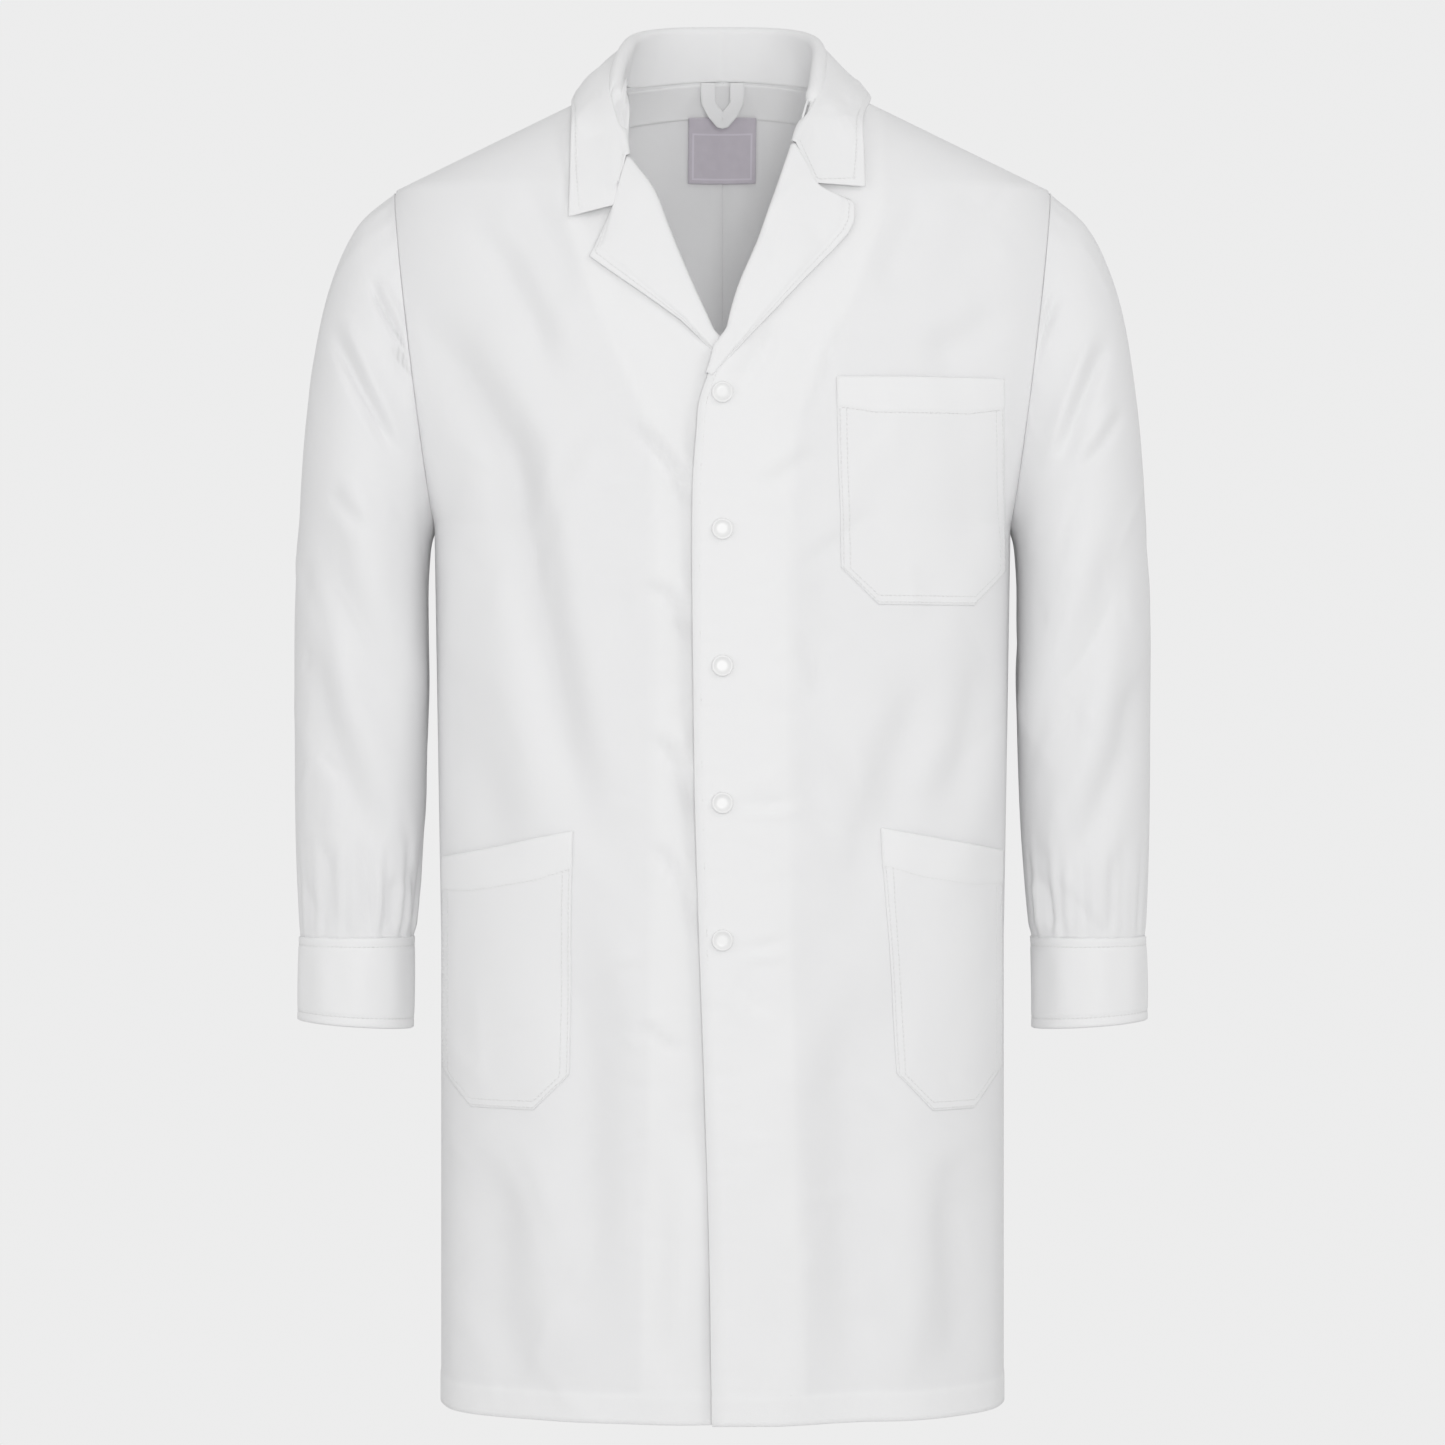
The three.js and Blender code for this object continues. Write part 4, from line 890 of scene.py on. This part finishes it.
def cuff_place(side):
    def place(angle, v, offset):
        x1, x0 = CUFF_TOP_X + v, CUFF_TOP_X - CUFF_WIDTH + v
        z1, z0 = WRIST_Z - SEAM_GAP - CUFF_HEIGHT * v, WRIST_Z - SEAM_GAP - (CUFF_HEIGHT + CUFF_SLANT) * v
        wave = 0.5 * np.sin(angle * 9 + side) * np.sin(np.pi * v) + 0.5 * np.sin(angle * 4 + 2 * v)
        reach = (x1 - x0) / 2 + offset + wave
        x = (x0 + x1) / 2 + reach * np.cos(angle)
        y = -(CUFF_HALF_DEPTH + offset + wave) * np.sin(angle)
        return np.stack([x * side, y, mix(z0, z1, (1 + np.cos(angle)) / 2)], -1)
    return place


for side, hand in HANDS.items():
    rows, columns = 240, 132
    v, angle = np.meshgrid(np.linspace(0, 8, rows), np.arange(columns) * 2 * np.pi / columns, indexing="ij")
    grid = sleeve_place(side)(angle, v, 0 * v)
    made = cloth(f"sleeve_{hand}_cloth", grid, CLOTH, 0.0, closed=True, outwards=(265.0 * side, 0, -360))
    keep(f"sleeve_{hand}", made, grid, f"sleeve_{hand}", body=None)

    v, angle = np.meshgrid(np.linspace(0, 1, 40), np.arange(columns) * 2 * np.pi / columns, indexing="ij")
    groove = sum(np.exp(-((v - level) / 0.022) ** 2) for level in CUFF_SEAMS)
    grid = cuff_place(side)(angle, v, 0.3 - 0.35 * groove)
    made = cloth(f"cuff_{hand}_cloth", grid, CUFF_THICKNESS - 0.5 * groove, 1.0, closed=True,
                 outwards=(269.0 * side, 0, -668))
    keep(f"cuff_{hand}", made, grid, f"cuff_{hand}", body=f"{hand}_arm")
print("sleeves and cuffs made")

# %% [markdown]
# The three pockets are patches sewn down on three sides. Their lower corners are cut off, the mouth has a
# folded band, and the cloth between the seams stands a little proud, so that its edges catch the light.

# %% Pockets
POCKETS = {
    "chest_pocket": dict(side=1, inner=81, outer=201, top=-236, slant=1, bottom=-397, chamfer=26, band=25,
                         lean_in=4, lean_out=4),
    "hip_pocket_left": dict(side=1, inner=113, outer=203, top=-556, slant=-18, bottom=-757,
                            chamfer=27, band=30,
                            lean_in=13, lean_out=0),
    "hip_pocket_right": dict(side=-1, inner=106, outer=203, top=-558, slant=-21, bottom=-756,
                             chamfer=25, band=30,
                             lean_in=5, lean_out=0),
}


def pocket_place(p):
    def place(u, v, offset):
        x = mix(p["inner"], p["outer"], u)
        cut = np.maximum(0, np.maximum(p["inner"] + p["chamfer"] - x, x - (p["outer"] - p["chamfer"])))
        top = p["top"] + p["slant"] * u
        z = mix(p["bottom"] + cut, top, v)
        down = (p["top"] - z) / (p["top"] - p["bottom"])
        x = x + p["lean_in"] * down * (1 - u) + p["lean_out"] * down * u * (p["lean_in"] < 10)
        full = np.sin(np.pi * np.clip(u, 0, 1)) ** 0.5 * smooth(v, 0, 0.2)
        proud = 0.2 + 0.7 * full + 1.2 * full * smooth(v, 0.72, 1)
        return front_point(p["side"], x, z, CLOTH + proud + offset)
    return place


for name, p in POCKETS.items():
    width = p["outer"] - p["inner"]
    corner = p["chamfer"] / width
    stops = np.unique(np.concatenate([np.linspace(0, 1, 60), [corner, 1 - corner]]))
    v, u = np.meshgrid(np.linspace(0, 1, 90), stops, indexing="ij")
    height = p["top"] - p["bottom"]
    band = smooth(v * height, height - p["band"] - 0.8, height - p["band"] + 0.8)
    line = np.exp(-((v * height - (height - p["band"])) / 1.6) ** 2)
    grid = pocket_place(p)(u, v, 0.25 * band - 0.3 * line)
    made = cloth(f"{name}_cloth", grid, CLOTH + SECOND_LAYER * band, 0.55 + 0.45 * band, outwards=BODY_CORE)
    keep(name, made, grid, name)
print("pockets:", sorted(POCKETS))

# %% [markdown]
# The label is a small woven tab with a plain border and no lettering, sewn inside the neck. The hanging
# loop is one narrow tape whose two legs leave the neck seam and meet in a folded point.

# %% Label and loop
LABEL_RISE = 5.0
v, u = np.meshgrid(np.linspace(-69, -28, 28), np.linspace(-25.5, 25.5, 34), indexing="ij")
curl = 0.5 * np.sin(np.pi * (u + 25.5) / 51) * np.sin(np.pi * (v + 69) / 41)
grid = across_back(u + 0.6 * (v + 28) / 41, v - LABEL_RISE * (1 - (u / NECK_HALF) ** 2), -LAYER - 1.0 - curl)
label = cloth("neck_label_cloth", grid, 0.5, 0.0, outwards=(0, 0, -50.0))
keep("neck_label", label, grid, "neck_label")

LOOP_LEG = [(0.0, 11.0, -1.0), (0.3, 11.0, -10.0), (0.5, 10.8, -16.5), (0.7, 7.9, -22.5), (1.0, 0.0, -31.5)]
share = np.abs(np.linspace(-1, 1, 61))
legs = np.sign(np.linspace(-1, 1, 61))
centre_x = np.interp(1 - share, [k[0] for k in LOOP_LEG], [k[1] for k in LOOP_LEG]) * legs
centre_z = np.interp(1 - share, [k[0] for k in LOOP_LEG], [k[2] for k in LOOP_LEG])
lean = smooth(1 - share, 0.35, 0.75)
inner_x, inner_z = centre_x - legs * (5.25 - 2.2 * lean), centre_z + 5.2 * lean
outer_x, outer_z = centre_x + legs * (5.25 - 2.2 * lean), centre_z - 3.6 * lean
inner_x, outer_x = inner_x * (share > 0), outer_x * (share > 0)
across = np.linspace(0, 1, 9)[:, None]
loop_x, loop_z = mix(inner_x, outer_x, across), mix(inner_z, outer_z, across)
loop_y = NECK_BACK - 1.95 - 0.7 * np.sin(np.pi * (1 - share))
grid = np.stack([loop_x, loop_y + 0 * loop_x, loop_z], -1)
loop = cloth("hanger_loop_tape", grid, 0.5, 0.3)
keep("hanger_loop", loop, grid, "hanger_loop", body="hanger")
print("label and loop made")

# %% [markdown]
# A press stud has four turned parts. Each is modelled by hand: a filled circle is extruded ring by ring up
# its outline and every new ring is resized, then a small bevel softens the edges. One of each kind is made
# at the origin, and copies, each with its own mesh, are turned square to the cloth at the five places.

# %% Press studs
STUD_COUNT, STUD_PLATE, STUD_HEAD_TOP = 5, 0.8, 3.7
CAP_BASE = LEFT_FRONT_LEVEL + 0.5
STUD_OUTLINES = {
    "cap": [(1.5, STUD_HEAD_TOP + 0.5), (1.5, CAP_BASE), (7.2, CAP_BASE), (7.75, CAP_BASE + 0.6),
            (7.75, CAP_BASE + 1.6), (7.3, CAP_BASE + 2.3), (6.6, CAP_BASE + 2.5), (6.0, CAP_BASE + 2.35),
            (5.5, CAP_BASE + 2.0), (3.0, CAP_BASE + 1.9), (0.6, CAP_BASE + 1.95)],
    "socket": [(3.2, 2.0), (5.1, 2.0), (5.5, 2.4), (5.5, 4.4), (5.1, 4.8), (2.0, 4.8)],
    "stud": [(5.2, STUD_PLATE), (5.5, STUD_PLATE + 0.3), (5.3, STUD_PLATE + 0.8), (2.5, STUD_PLATE + 0.9),
             (2.4, 2.6), (2.9, 3.1), (2.4, STUD_HEAD_TOP), (0.8, STUD_HEAD_TOP)],
    "post": [(5.2, -3.3), (5.5, -3.0), (5.3, -2.4), (1.5, -2.3), (1.5, 1.5), (0.5, 1.6)],
}


def turned(name, outline):
    bpy.ops.object.select_all(action="DESELECT")
    radius, height = outline[0]
    bpy.ops.mesh.primitive_circle_add(vertices=40, radius=radius * MM, fill_type="NGON",
                                      location=(0, 0, height * MM))
    made = bpy.context.object
    made.name = name
    bpy.ops.object.transform_apply(location=True, rotation=True, scale=True)
    bpy.ops.object.mode_set(mode="EDIT")
    bpy.ops.mesh.select_mode(type="FACE")
    for wide, high in outline[1:]:
        bpy.ops.mesh.extrude_region_move(TRANSFORM_OT_translate={"value": (0, 0, (high - height) * MM)})
        bpy.ops.transform.resize(value=(wide / radius, wide / radius, 1), center_override=(0, 0, high * MM))
        radius, height = wide, high
    bpy.ops.mesh.select_all(action="SELECT")
    bpy.ops.mesh.normals_make_consistent(inside=False)
    bpy.ops.object.mode_set(mode="OBJECT")
    soft = made.modifiers.new("soft_edges", "BEVEL")
    soft.width, soft.segments, soft.limit_method, soft.angle_limit = 0.12 * MM, 2, "ANGLE", math.radians(40)
    bpy.ops.object.modifier_apply(modifier=soft.name)
    bpy.ops.object.shade_smooth_by_angle(angle=math.radians(35))
    return made


def stud_matrix(number):
    z = np.array(TOP_STUD_Z - number * STUD_PITCH)
    seat, above = body_point(0.0, z, 0.0), body_point(0.0, z, 1.0)
    turn = Vector((0, 0, 1)).rotation_difference(Vector(above - seat)).to_matrix().to_4x4()
    return Matrix.Translation(Vector(to_frame(seat))) @ turn


STUDS = []
for kind, outline in STUD_OUTLINES.items():
    first = turned(f"pattern_{kind}", outline)
    for number in range(STUD_COUNT):
        made = first if number == STUD_COUNT - 1 else first.copy()
        if made is not first:
            made.data = first.data.copy()
            bpy.context.collection.objects.link(made)
        made.data.transform(stud_matrix(number))
        STUDS.append((made, number + 1, kind))
for made, number, kind in STUDS:
    made.name = f"stud_{number}_{kind}_moulded"
    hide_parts(f"stud_{number}_{kind}")
    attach(made, "coat_body")
bpy.ops.object.select_all(action="DESELECT")
print("stud parts:", len(STUDS))

# %% [markdown]
# Every sewn edge gets its row of stitches: front edges, hems, the collar and lapels, both ends of the cuffs,
# and the pockets, whose sides are sewn twice.

# %% Topstitching
SEWN = {}
for side, hand in HANDS.items():
    z = np.linspace(BREAK_Z - 12, HEM_Z + 4, 900)
    on_front = lambda x, z, lift: front_point(side, x, z, lift)
    front = [run_on(on_front, inner_edge(side, z) + 5, z, 0.62)]
    x = np.linspace(float(inner_edge(side, HEM_Z + HEM_BAND)) + 3, 204, 500)
    front.append(run_on(on_front, x, HEM_Z + HEM_BAND + 0 * x, 0.58))
    SEWN[f"front_{hand}_thread"] = (stitches(f"front_{hand}_thread", front), f"front_{hand}")

    u = np.linspace(0.02, 0.995, 500)
    back = [run_on(back_place(side), u, HEM_Z + HEM_BAND + 0 * u, 0.6)]
    z = np.linspace(NECK_Z - 6, HEM_Z + 3, 900)
    width = half_width(z, along(BACK_DEPTH, z))
    angle = np.arcsin((4.0 / width) ** (SECTION_POWER / 2))
    place = lambda a, z, o: back_point(side, a, z, o)
    back.append(run_on(place, angle, z, 0.85))
    SEWN[f"back_{hand}_thread"] = (stitches(f"back_{hand}_thread", back), f"back_{hand}")

    v = np.linspace(0.04, 0.985, 400)
    edge = [run_on(lapel_place(side), 0.96 + 0 * v, v, 0.75)]
    SEWN[f"lapel_{hand}_thread"] = (stitches(f"lapel_{hand}_thread", edge), f"lapel_{hand}")

    angle = np.linspace(0, 2 * np.pi, 500)
    rows = [run_on(cuff_place(side), angle, level + 0 * angle, 1.3) for level in CUFF_SEAMS]
    SEWN[f"cuff_{hand}_thread"] = (stitches(f"cuff_{hand}_thread", rows), f"cuff_{hand}")

u = np.linspace(0.012, 0.988, 900)
t = np.linspace(0.5, 0.94, 120)
SEWN["collar_thread"] = (stitches("collar_thread", [
    run_on(collar_place, u, 0.94 + 0 * u, 0.8),
    run_on(collar_place, 0.012 + 0 * t, t, 0.8), run_on(collar_place, 0.988 + 0 * t, t, 0.8)]), "collar")

for name, p in POCKETS.items():
    width, height = p["outer"] - p["inner"], p["top"] - p["bottom"]
    rows = []
    for inset in (1.6, 6.2):
        du, dv = inset / width, inset / height
        corner = p["chamfer"] / width
        us = np.concatenate([np.full(80, du), np.linspace(du, corner, 40),
                             np.linspace(corner, 1 - corner, 60),
                             np.linspace(1 - corner, 1 - du, 40), np.full(80, 1 - du)])
        vs = np.concatenate([np.linspace(0.99, dv, 80), np.full(140, dv), np.linspace(dv, 0.99, 80)])
        rows.append(run_on(pocket_place(p), us, vs, 0.55))
    u = np.linspace(0.02, 0.98, 120)
    rows.append(run_on(pocket_place(p), u, 1 - p["band"] / height + 0 * u, 0.5))
    SEWN[f"{name}_thread"] = (stitches(f"{name}_thread", rows), name)

# %% [markdown]
# Now everything is put on its body. The sleeves bend where they leave the armhole, because the cloth there
# has to join a fixed coat to a raised arm; the lower front corners bend along their slanted line. Threads go
# with the cloth they hold.

# %% Bodies, blends and declarations
ARM_START, ARM_OUTWARD, ARM_REACH = np.array([225.5, 0, -215.0]), np.array([0.993, 0, -0.117]), 30


def bend_sleeve(made, side):
    first, last = (to_frame(p * [side, 1, 1]) for p in (ARM_START, ARM_START + ARM_OUTWARD * ARM_REACH))
    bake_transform(made, "coat_body", f"{HANDS[side]}_arm", start=tuple(first), end=tuple(last))


for side, hand in HANDS.items():
    for name in (f"front_{hand}", f"facing_{hand}"):
        bend_corner(PIECES[name][0], side)
    bend_corner(SEWN[f"front_{hand}_thread"][0], side)
    bend_sleeve(PIECES[f"sleeve_{hand}"][0], side)
for name, (thread, home) in SEWN.items():
    if "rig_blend" not in thread:
        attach(thread, f"{home[5:]}_arm" if home.startswith("cuff") else "coat_body")
for name, (made, grid) in PIECES.items():
    threads = [thread for thread, home in SEWN.values() if home == name]
    declare(made, grid if not name.startswith(("sleeve", "cuff")) else np.concatenate([grid, grid[:, :1]], 1))

# %% [markdown]
# Materials are written as plain expressions. `Socket` wraps a node's output and turns +, - and * into Math
# nodes, and `Shader.node` adds any other node.

# %% A small language for shader maths
class Socket:
    def __init__(self, shader, link):
        self.shader, self.link = shader, link

    def math(self, operation, *others):
        return self.shader.node("ShaderNodeMath", {"operation": operation}, dict(enumerate([self, *others])))

    def __add__(self, other): return self.math("ADD", other)
    def __radd__(self, other): return self.math("ADD", other)
    def __mul__(self, other): return self.math("MULTIPLY", other)
    def __rmul__(self, other): return self.math("MULTIPLY", other)
    def __sub__(self, other): return self.math("SUBTRACT", other)


class Shader:
    def __init__(self, name, **constants):
        self.material = bpy.data.materials.new(name)
        self.material.use_nodes = True
        self.nodes, self.links = self.material.node_tree.nodes, self.material.node_tree.links
        self.surface = self.nodes["Principled BSDF"]
        for key, value in constants.items():
            self.surface.inputs[key.replace("_", " ")].default_value = value

    def node(self, kind, settings, values, output=0):
        made = self.nodes.new(kind)
        for key, value in settings.items():
            setattr(made, key, value)
        for key, value in values.items():
            if isinstance(value, Socket):
                self.links.new(value.link, made.inputs[key])
            else:
                made.inputs[key].default_value = value
        return Socket(self, made.outputs[output])

    def set(self, name, socket):
        self.links.new(socket.link, self.surface.inputs[name])

    def blend(self, factor, low, high):
        return self.node("ShaderNodeMix", {"data_type": "RGBA"}, {0: factor, 6: low, 7: high}, 2)

    def noise(self, vector, scale, detail=3.0):
        return self.node("ShaderNodeTexNoise", {}, {"Vector": vector, "Scale": scale, "Detail": detail})

    def bump(self, height, strength, distance):
        return self.node("ShaderNodeBump", {}, {"Height": height, "Strength": strength, "Distance": distance})


print("shader helpers ready")

# %% [markdown]
# The cloth is white polyester-cotton twill: fine diagonal ribs about 0.4 mm apart, slightly uneven
# yarns, and a dull surface with a faint sheen. Where two or three layers lie together less light goes
# through, so the facings, hems and pocket bands look a little whiter. Tape, label, thread and stud plastic
# are made the same way, each with its own scale.

# %% Materials
def weave_material(name, thin, thick, rib, rough, ribs_across=1.0, sheen=0.15, mottle=0.02):
    s = Shader(name, Sheen_Weight=sheen, Sheen_Roughness=0.5)
    flat = s.node("ShaderNodeUVMap", {"uv_map": "weave"}, {})
    axes = [s.node("ShaderNodeSeparateXYZ", {}, {0: flat}, k) for k in (0, 1)]
    layers = s.node("ShaderNodeAttribute", {"attribute_name": "layers"}, {}, 2)
    turn = 2 * math.pi / rib
    ribs = (axes[0] * (turn * ribs_across) + axes[1] * turn).math("SINE")
    yarn = (axes[0] * (turn * 1.9)).math("SINE") * 0.35
    stretched = s.node("ShaderNodeMapping", {}, {"Vector": flat, "Scale": (60.0, 700.0, 1.0)})
    slub = s.noise(stretched, 1.0, 2.0)
    cloudy = s.noise(flat, 28.0, 4.0)
    tone = layers + (cloudy - 0.5) * (mottle * 12) + (slub - 0.5) * (mottle * 8) + ribs * mottle
    s.set("Base Color", s.blend(tone, (*thin, 1), (*thick, 1)))
    s.set("Roughness", (slub - 0.5) * 0.12 + rough)
    s.set("Normal", s.bump(ribs * 0.5 + yarn + slub * 1.2, 0.22, rib * 0.35))
    return s.material


def plastic_material():
    s = Shader("stud_plastic_white", Coat_Weight=0.15, Coat_Roughness=0.25)
    where = s.node("ShaderNodeTexCoord", {}, {}, 3)
    cloudy = s.noise(where, 160.0, 3.0)
    grain = s.noise(where, 2600.0, 2.0)
    s.set("Base Color", s.blend(cloudy, (0.80, 0.80, 0.80, 1), (0.87, 0.87, 0.865, 1)))
    s.set("Roughness", (cloudy - 0.5) * 0.15 + 0.36)
    s.set("Normal", s.bump(grain, 0.15, 0.00008))
    return s.material


def thread_material():
    s = Shader("sewing_thread", Sheen_Weight=0.2)
    where = s.node("ShaderNodeTexCoord", {}, {}, 3)
    twist = s.noise(where, 2200.0, 2.0)
    s.set("Base Color", s.blend(twist, (0.80, 0.80, 0.80, 1), (0.90, 0.90, 0.895, 1)))
    s.set("Roughness", (twist - 0.5) * 0.2 + 0.62)
    s.set("Normal", s.bump(twist, 0.3, 0.00008))
    return s.material


def label_material():
    s = Shader("label_satin", Sheen_Weight=0.2)
    flat = s.node("ShaderNodeUVMap", {"uv_map": "weave"}, {})
    x, y = (s.node("ShaderNodeSeparateXYZ", {}, {0: flat}, k) for k in (0, 1))
    half_width, half_height = 0.0255, 0.0205
    from_sides = (x - half_width).math("ABSOLUTE") * -1.0 + half_width
    from_ends = (y - half_height).math("ABSOLUTE") * -1.0 + half_height
    margin = from_sides.math("MINIMUM", from_ends)
    border = margin.math("LESS_THAN", 0.0042) * margin.math("GREATER_THAN", 0.0028)
    ribs = (y * (2 * math.pi / 0.0005)).math("SINE")
    cloudy = s.noise(flat, 120.0, 3.0)
    ground = s.blend(cloudy, (0.56, 0.52, 0.58, 1), (0.64, 0.60, 0.66, 1))
    s.set("Base Color", s.blend(border, ground, (0.70, 0.66, 0.73, 1)))
    s.set("Roughness", ribs * 0.05 + 0.6)
    s.set("Normal", s.bump(ribs + cloudy, 0.3, 0.0002))
    return s.material


CLOTH_WHITE = weave_material("twill_white", (0.855, 0.855, 0.86), (0.885, 0.885, 0.888), 0.0006, 0.86)
TAPE_WHITE = weave_material("tape_white", (0.80, 0.80, 0.805), (0.87, 0.87, 0.875), 0.0008, 0.8, 0.0)
PLASTIC, THREAD, LABEL = plastic_material(), thread_material(), label_material()
for name, (made, grid) in PIECES.items():
    made.data.materials.append({"neck_label": LABEL, "hanger_loop": TAPE_WHITE}.get(name, CLOTH_WHITE))
for thread, home in SEWN.values():
    thread.data.materials.append(THREAD)
for made, number, kind in STUDS:
    made.data.materials.append(PLASTIC)
print("materials:", [m.name for m in bpy.data.materials])

# %% [markdown]
# The stage is a flat pale floor under a pale world of the same tone, so that the coat hangs against one even
# ground. An even light from all round is joined by a lamp in front and a weaker one at each side, the right
# one higher. The camera looks level at the coat's middle.

# %% Floor, light and camera
bpy.ops.object.select_all(action="DESELECT")
bpy.ops.mesh.primitive_plane_add(size=1, location=(0, 0, 0))
floor = bpy.context.object
floor.name = "studio_floor"
bpy.ops.object.mode_set(mode="EDIT")
bpy.ops.mesh.select_all(action="SELECT")
bpy.ops.transform.resize(value=(30, 14, 1))
bpy.ops.transform.translate(value=(0, -3, -1.6))
bpy.ops.object.mode_set(mode="OBJECT")
STUDIO_TONE, FILL_LIGHT = 0.845, 0.61


def pale(tree, kind, output):
    """Even pale grey to the eye, and a dimmer soft light to everything it shines on."""
    path = tree.nodes.new("ShaderNodeLightPath")
    level = tree.nodes.new("ShaderNodeMapRange")
    level.inputs["To Min"].default_value, level.inputs["To Max"].default_value = FILL_LIGHT, STUDIO_TONE
    shine = tree.nodes.new(kind)
    shine.inputs["Color"].default_value = (1, 1, 1, 1)
    tree.links.new(path.outputs["Is Camera Ray"], level.inputs["Value"])
    tree.links.new(level.outputs[0], shine.inputs["Strength"])
    tree.links.new(shine.outputs[0], tree.nodes[output].inputs["Surface"])


stage_shader = Shader("studio_pale")
pale(stage_shader.material.node_tree, "ShaderNodeEmission", "Material Output")
floor.data.materials.append(stage_shader.material)

world = bpy.data.worlds.new("studio")
bpy.context.scene.world = world
world.use_nodes = True
pale(world.node_tree, "ShaderNodeBackground", "World Output")
bpy.context.scene.view_settings.view_transform = "Standard"


def soft_light(name, place, target, size, watts):
    bpy.ops.object.light_add(type="AREA", location=place)
    light = bpy.context.object
    light.name = name
    light.data.shape, light.data.size, light.data.energy = "DISK", size, watts
    light.rotation_euler = (Vector(target) - Vector(place)).to_track_quat("-Z", "Y").to_euler()


MIDDLE = (0.0, -0.062, -0.481)
soft_light("key_upper_right", (1.9, -1.7, 1.2), MIDDLE, 0.8, 7)
soft_light("front", (0.25, -3.4, -0.2), MIDDLE, 0.9, 29)
# A small lamp inside the coat stands in for the light that real thin cloth lets through.
soft_light("through_cloth", (0.0, -0.07, -0.60), (0.0, -0.06, -0.05), 0.14, 0.22)
soft_light("fill_left", (-2.2, -1.6, 0.1), MIDDLE, 1.6, 6)

CAMERA_DISTANCE, FRAME_SIZE, SENSOR = 3.0, 1.0635, 36
bpy.ops.object.camera_add(location=(MIDDLE[0], MIDDLE[1] - CAMERA_DISTANCE, MIDDLE[2]),
                          rotation=(math.pi / 2, 0, 0))
camera = bpy.context.object
camera.name = "camera"
camera.data.sensor_width = SENSOR
camera.data.lens = SENSOR * CAMERA_DISTANCE / FRAME_SIZE
camera.data.clip_end = 60
bpy.context.scene.camera = camera
print("camera lens:", round(camera.data.lens, 1), "mm")
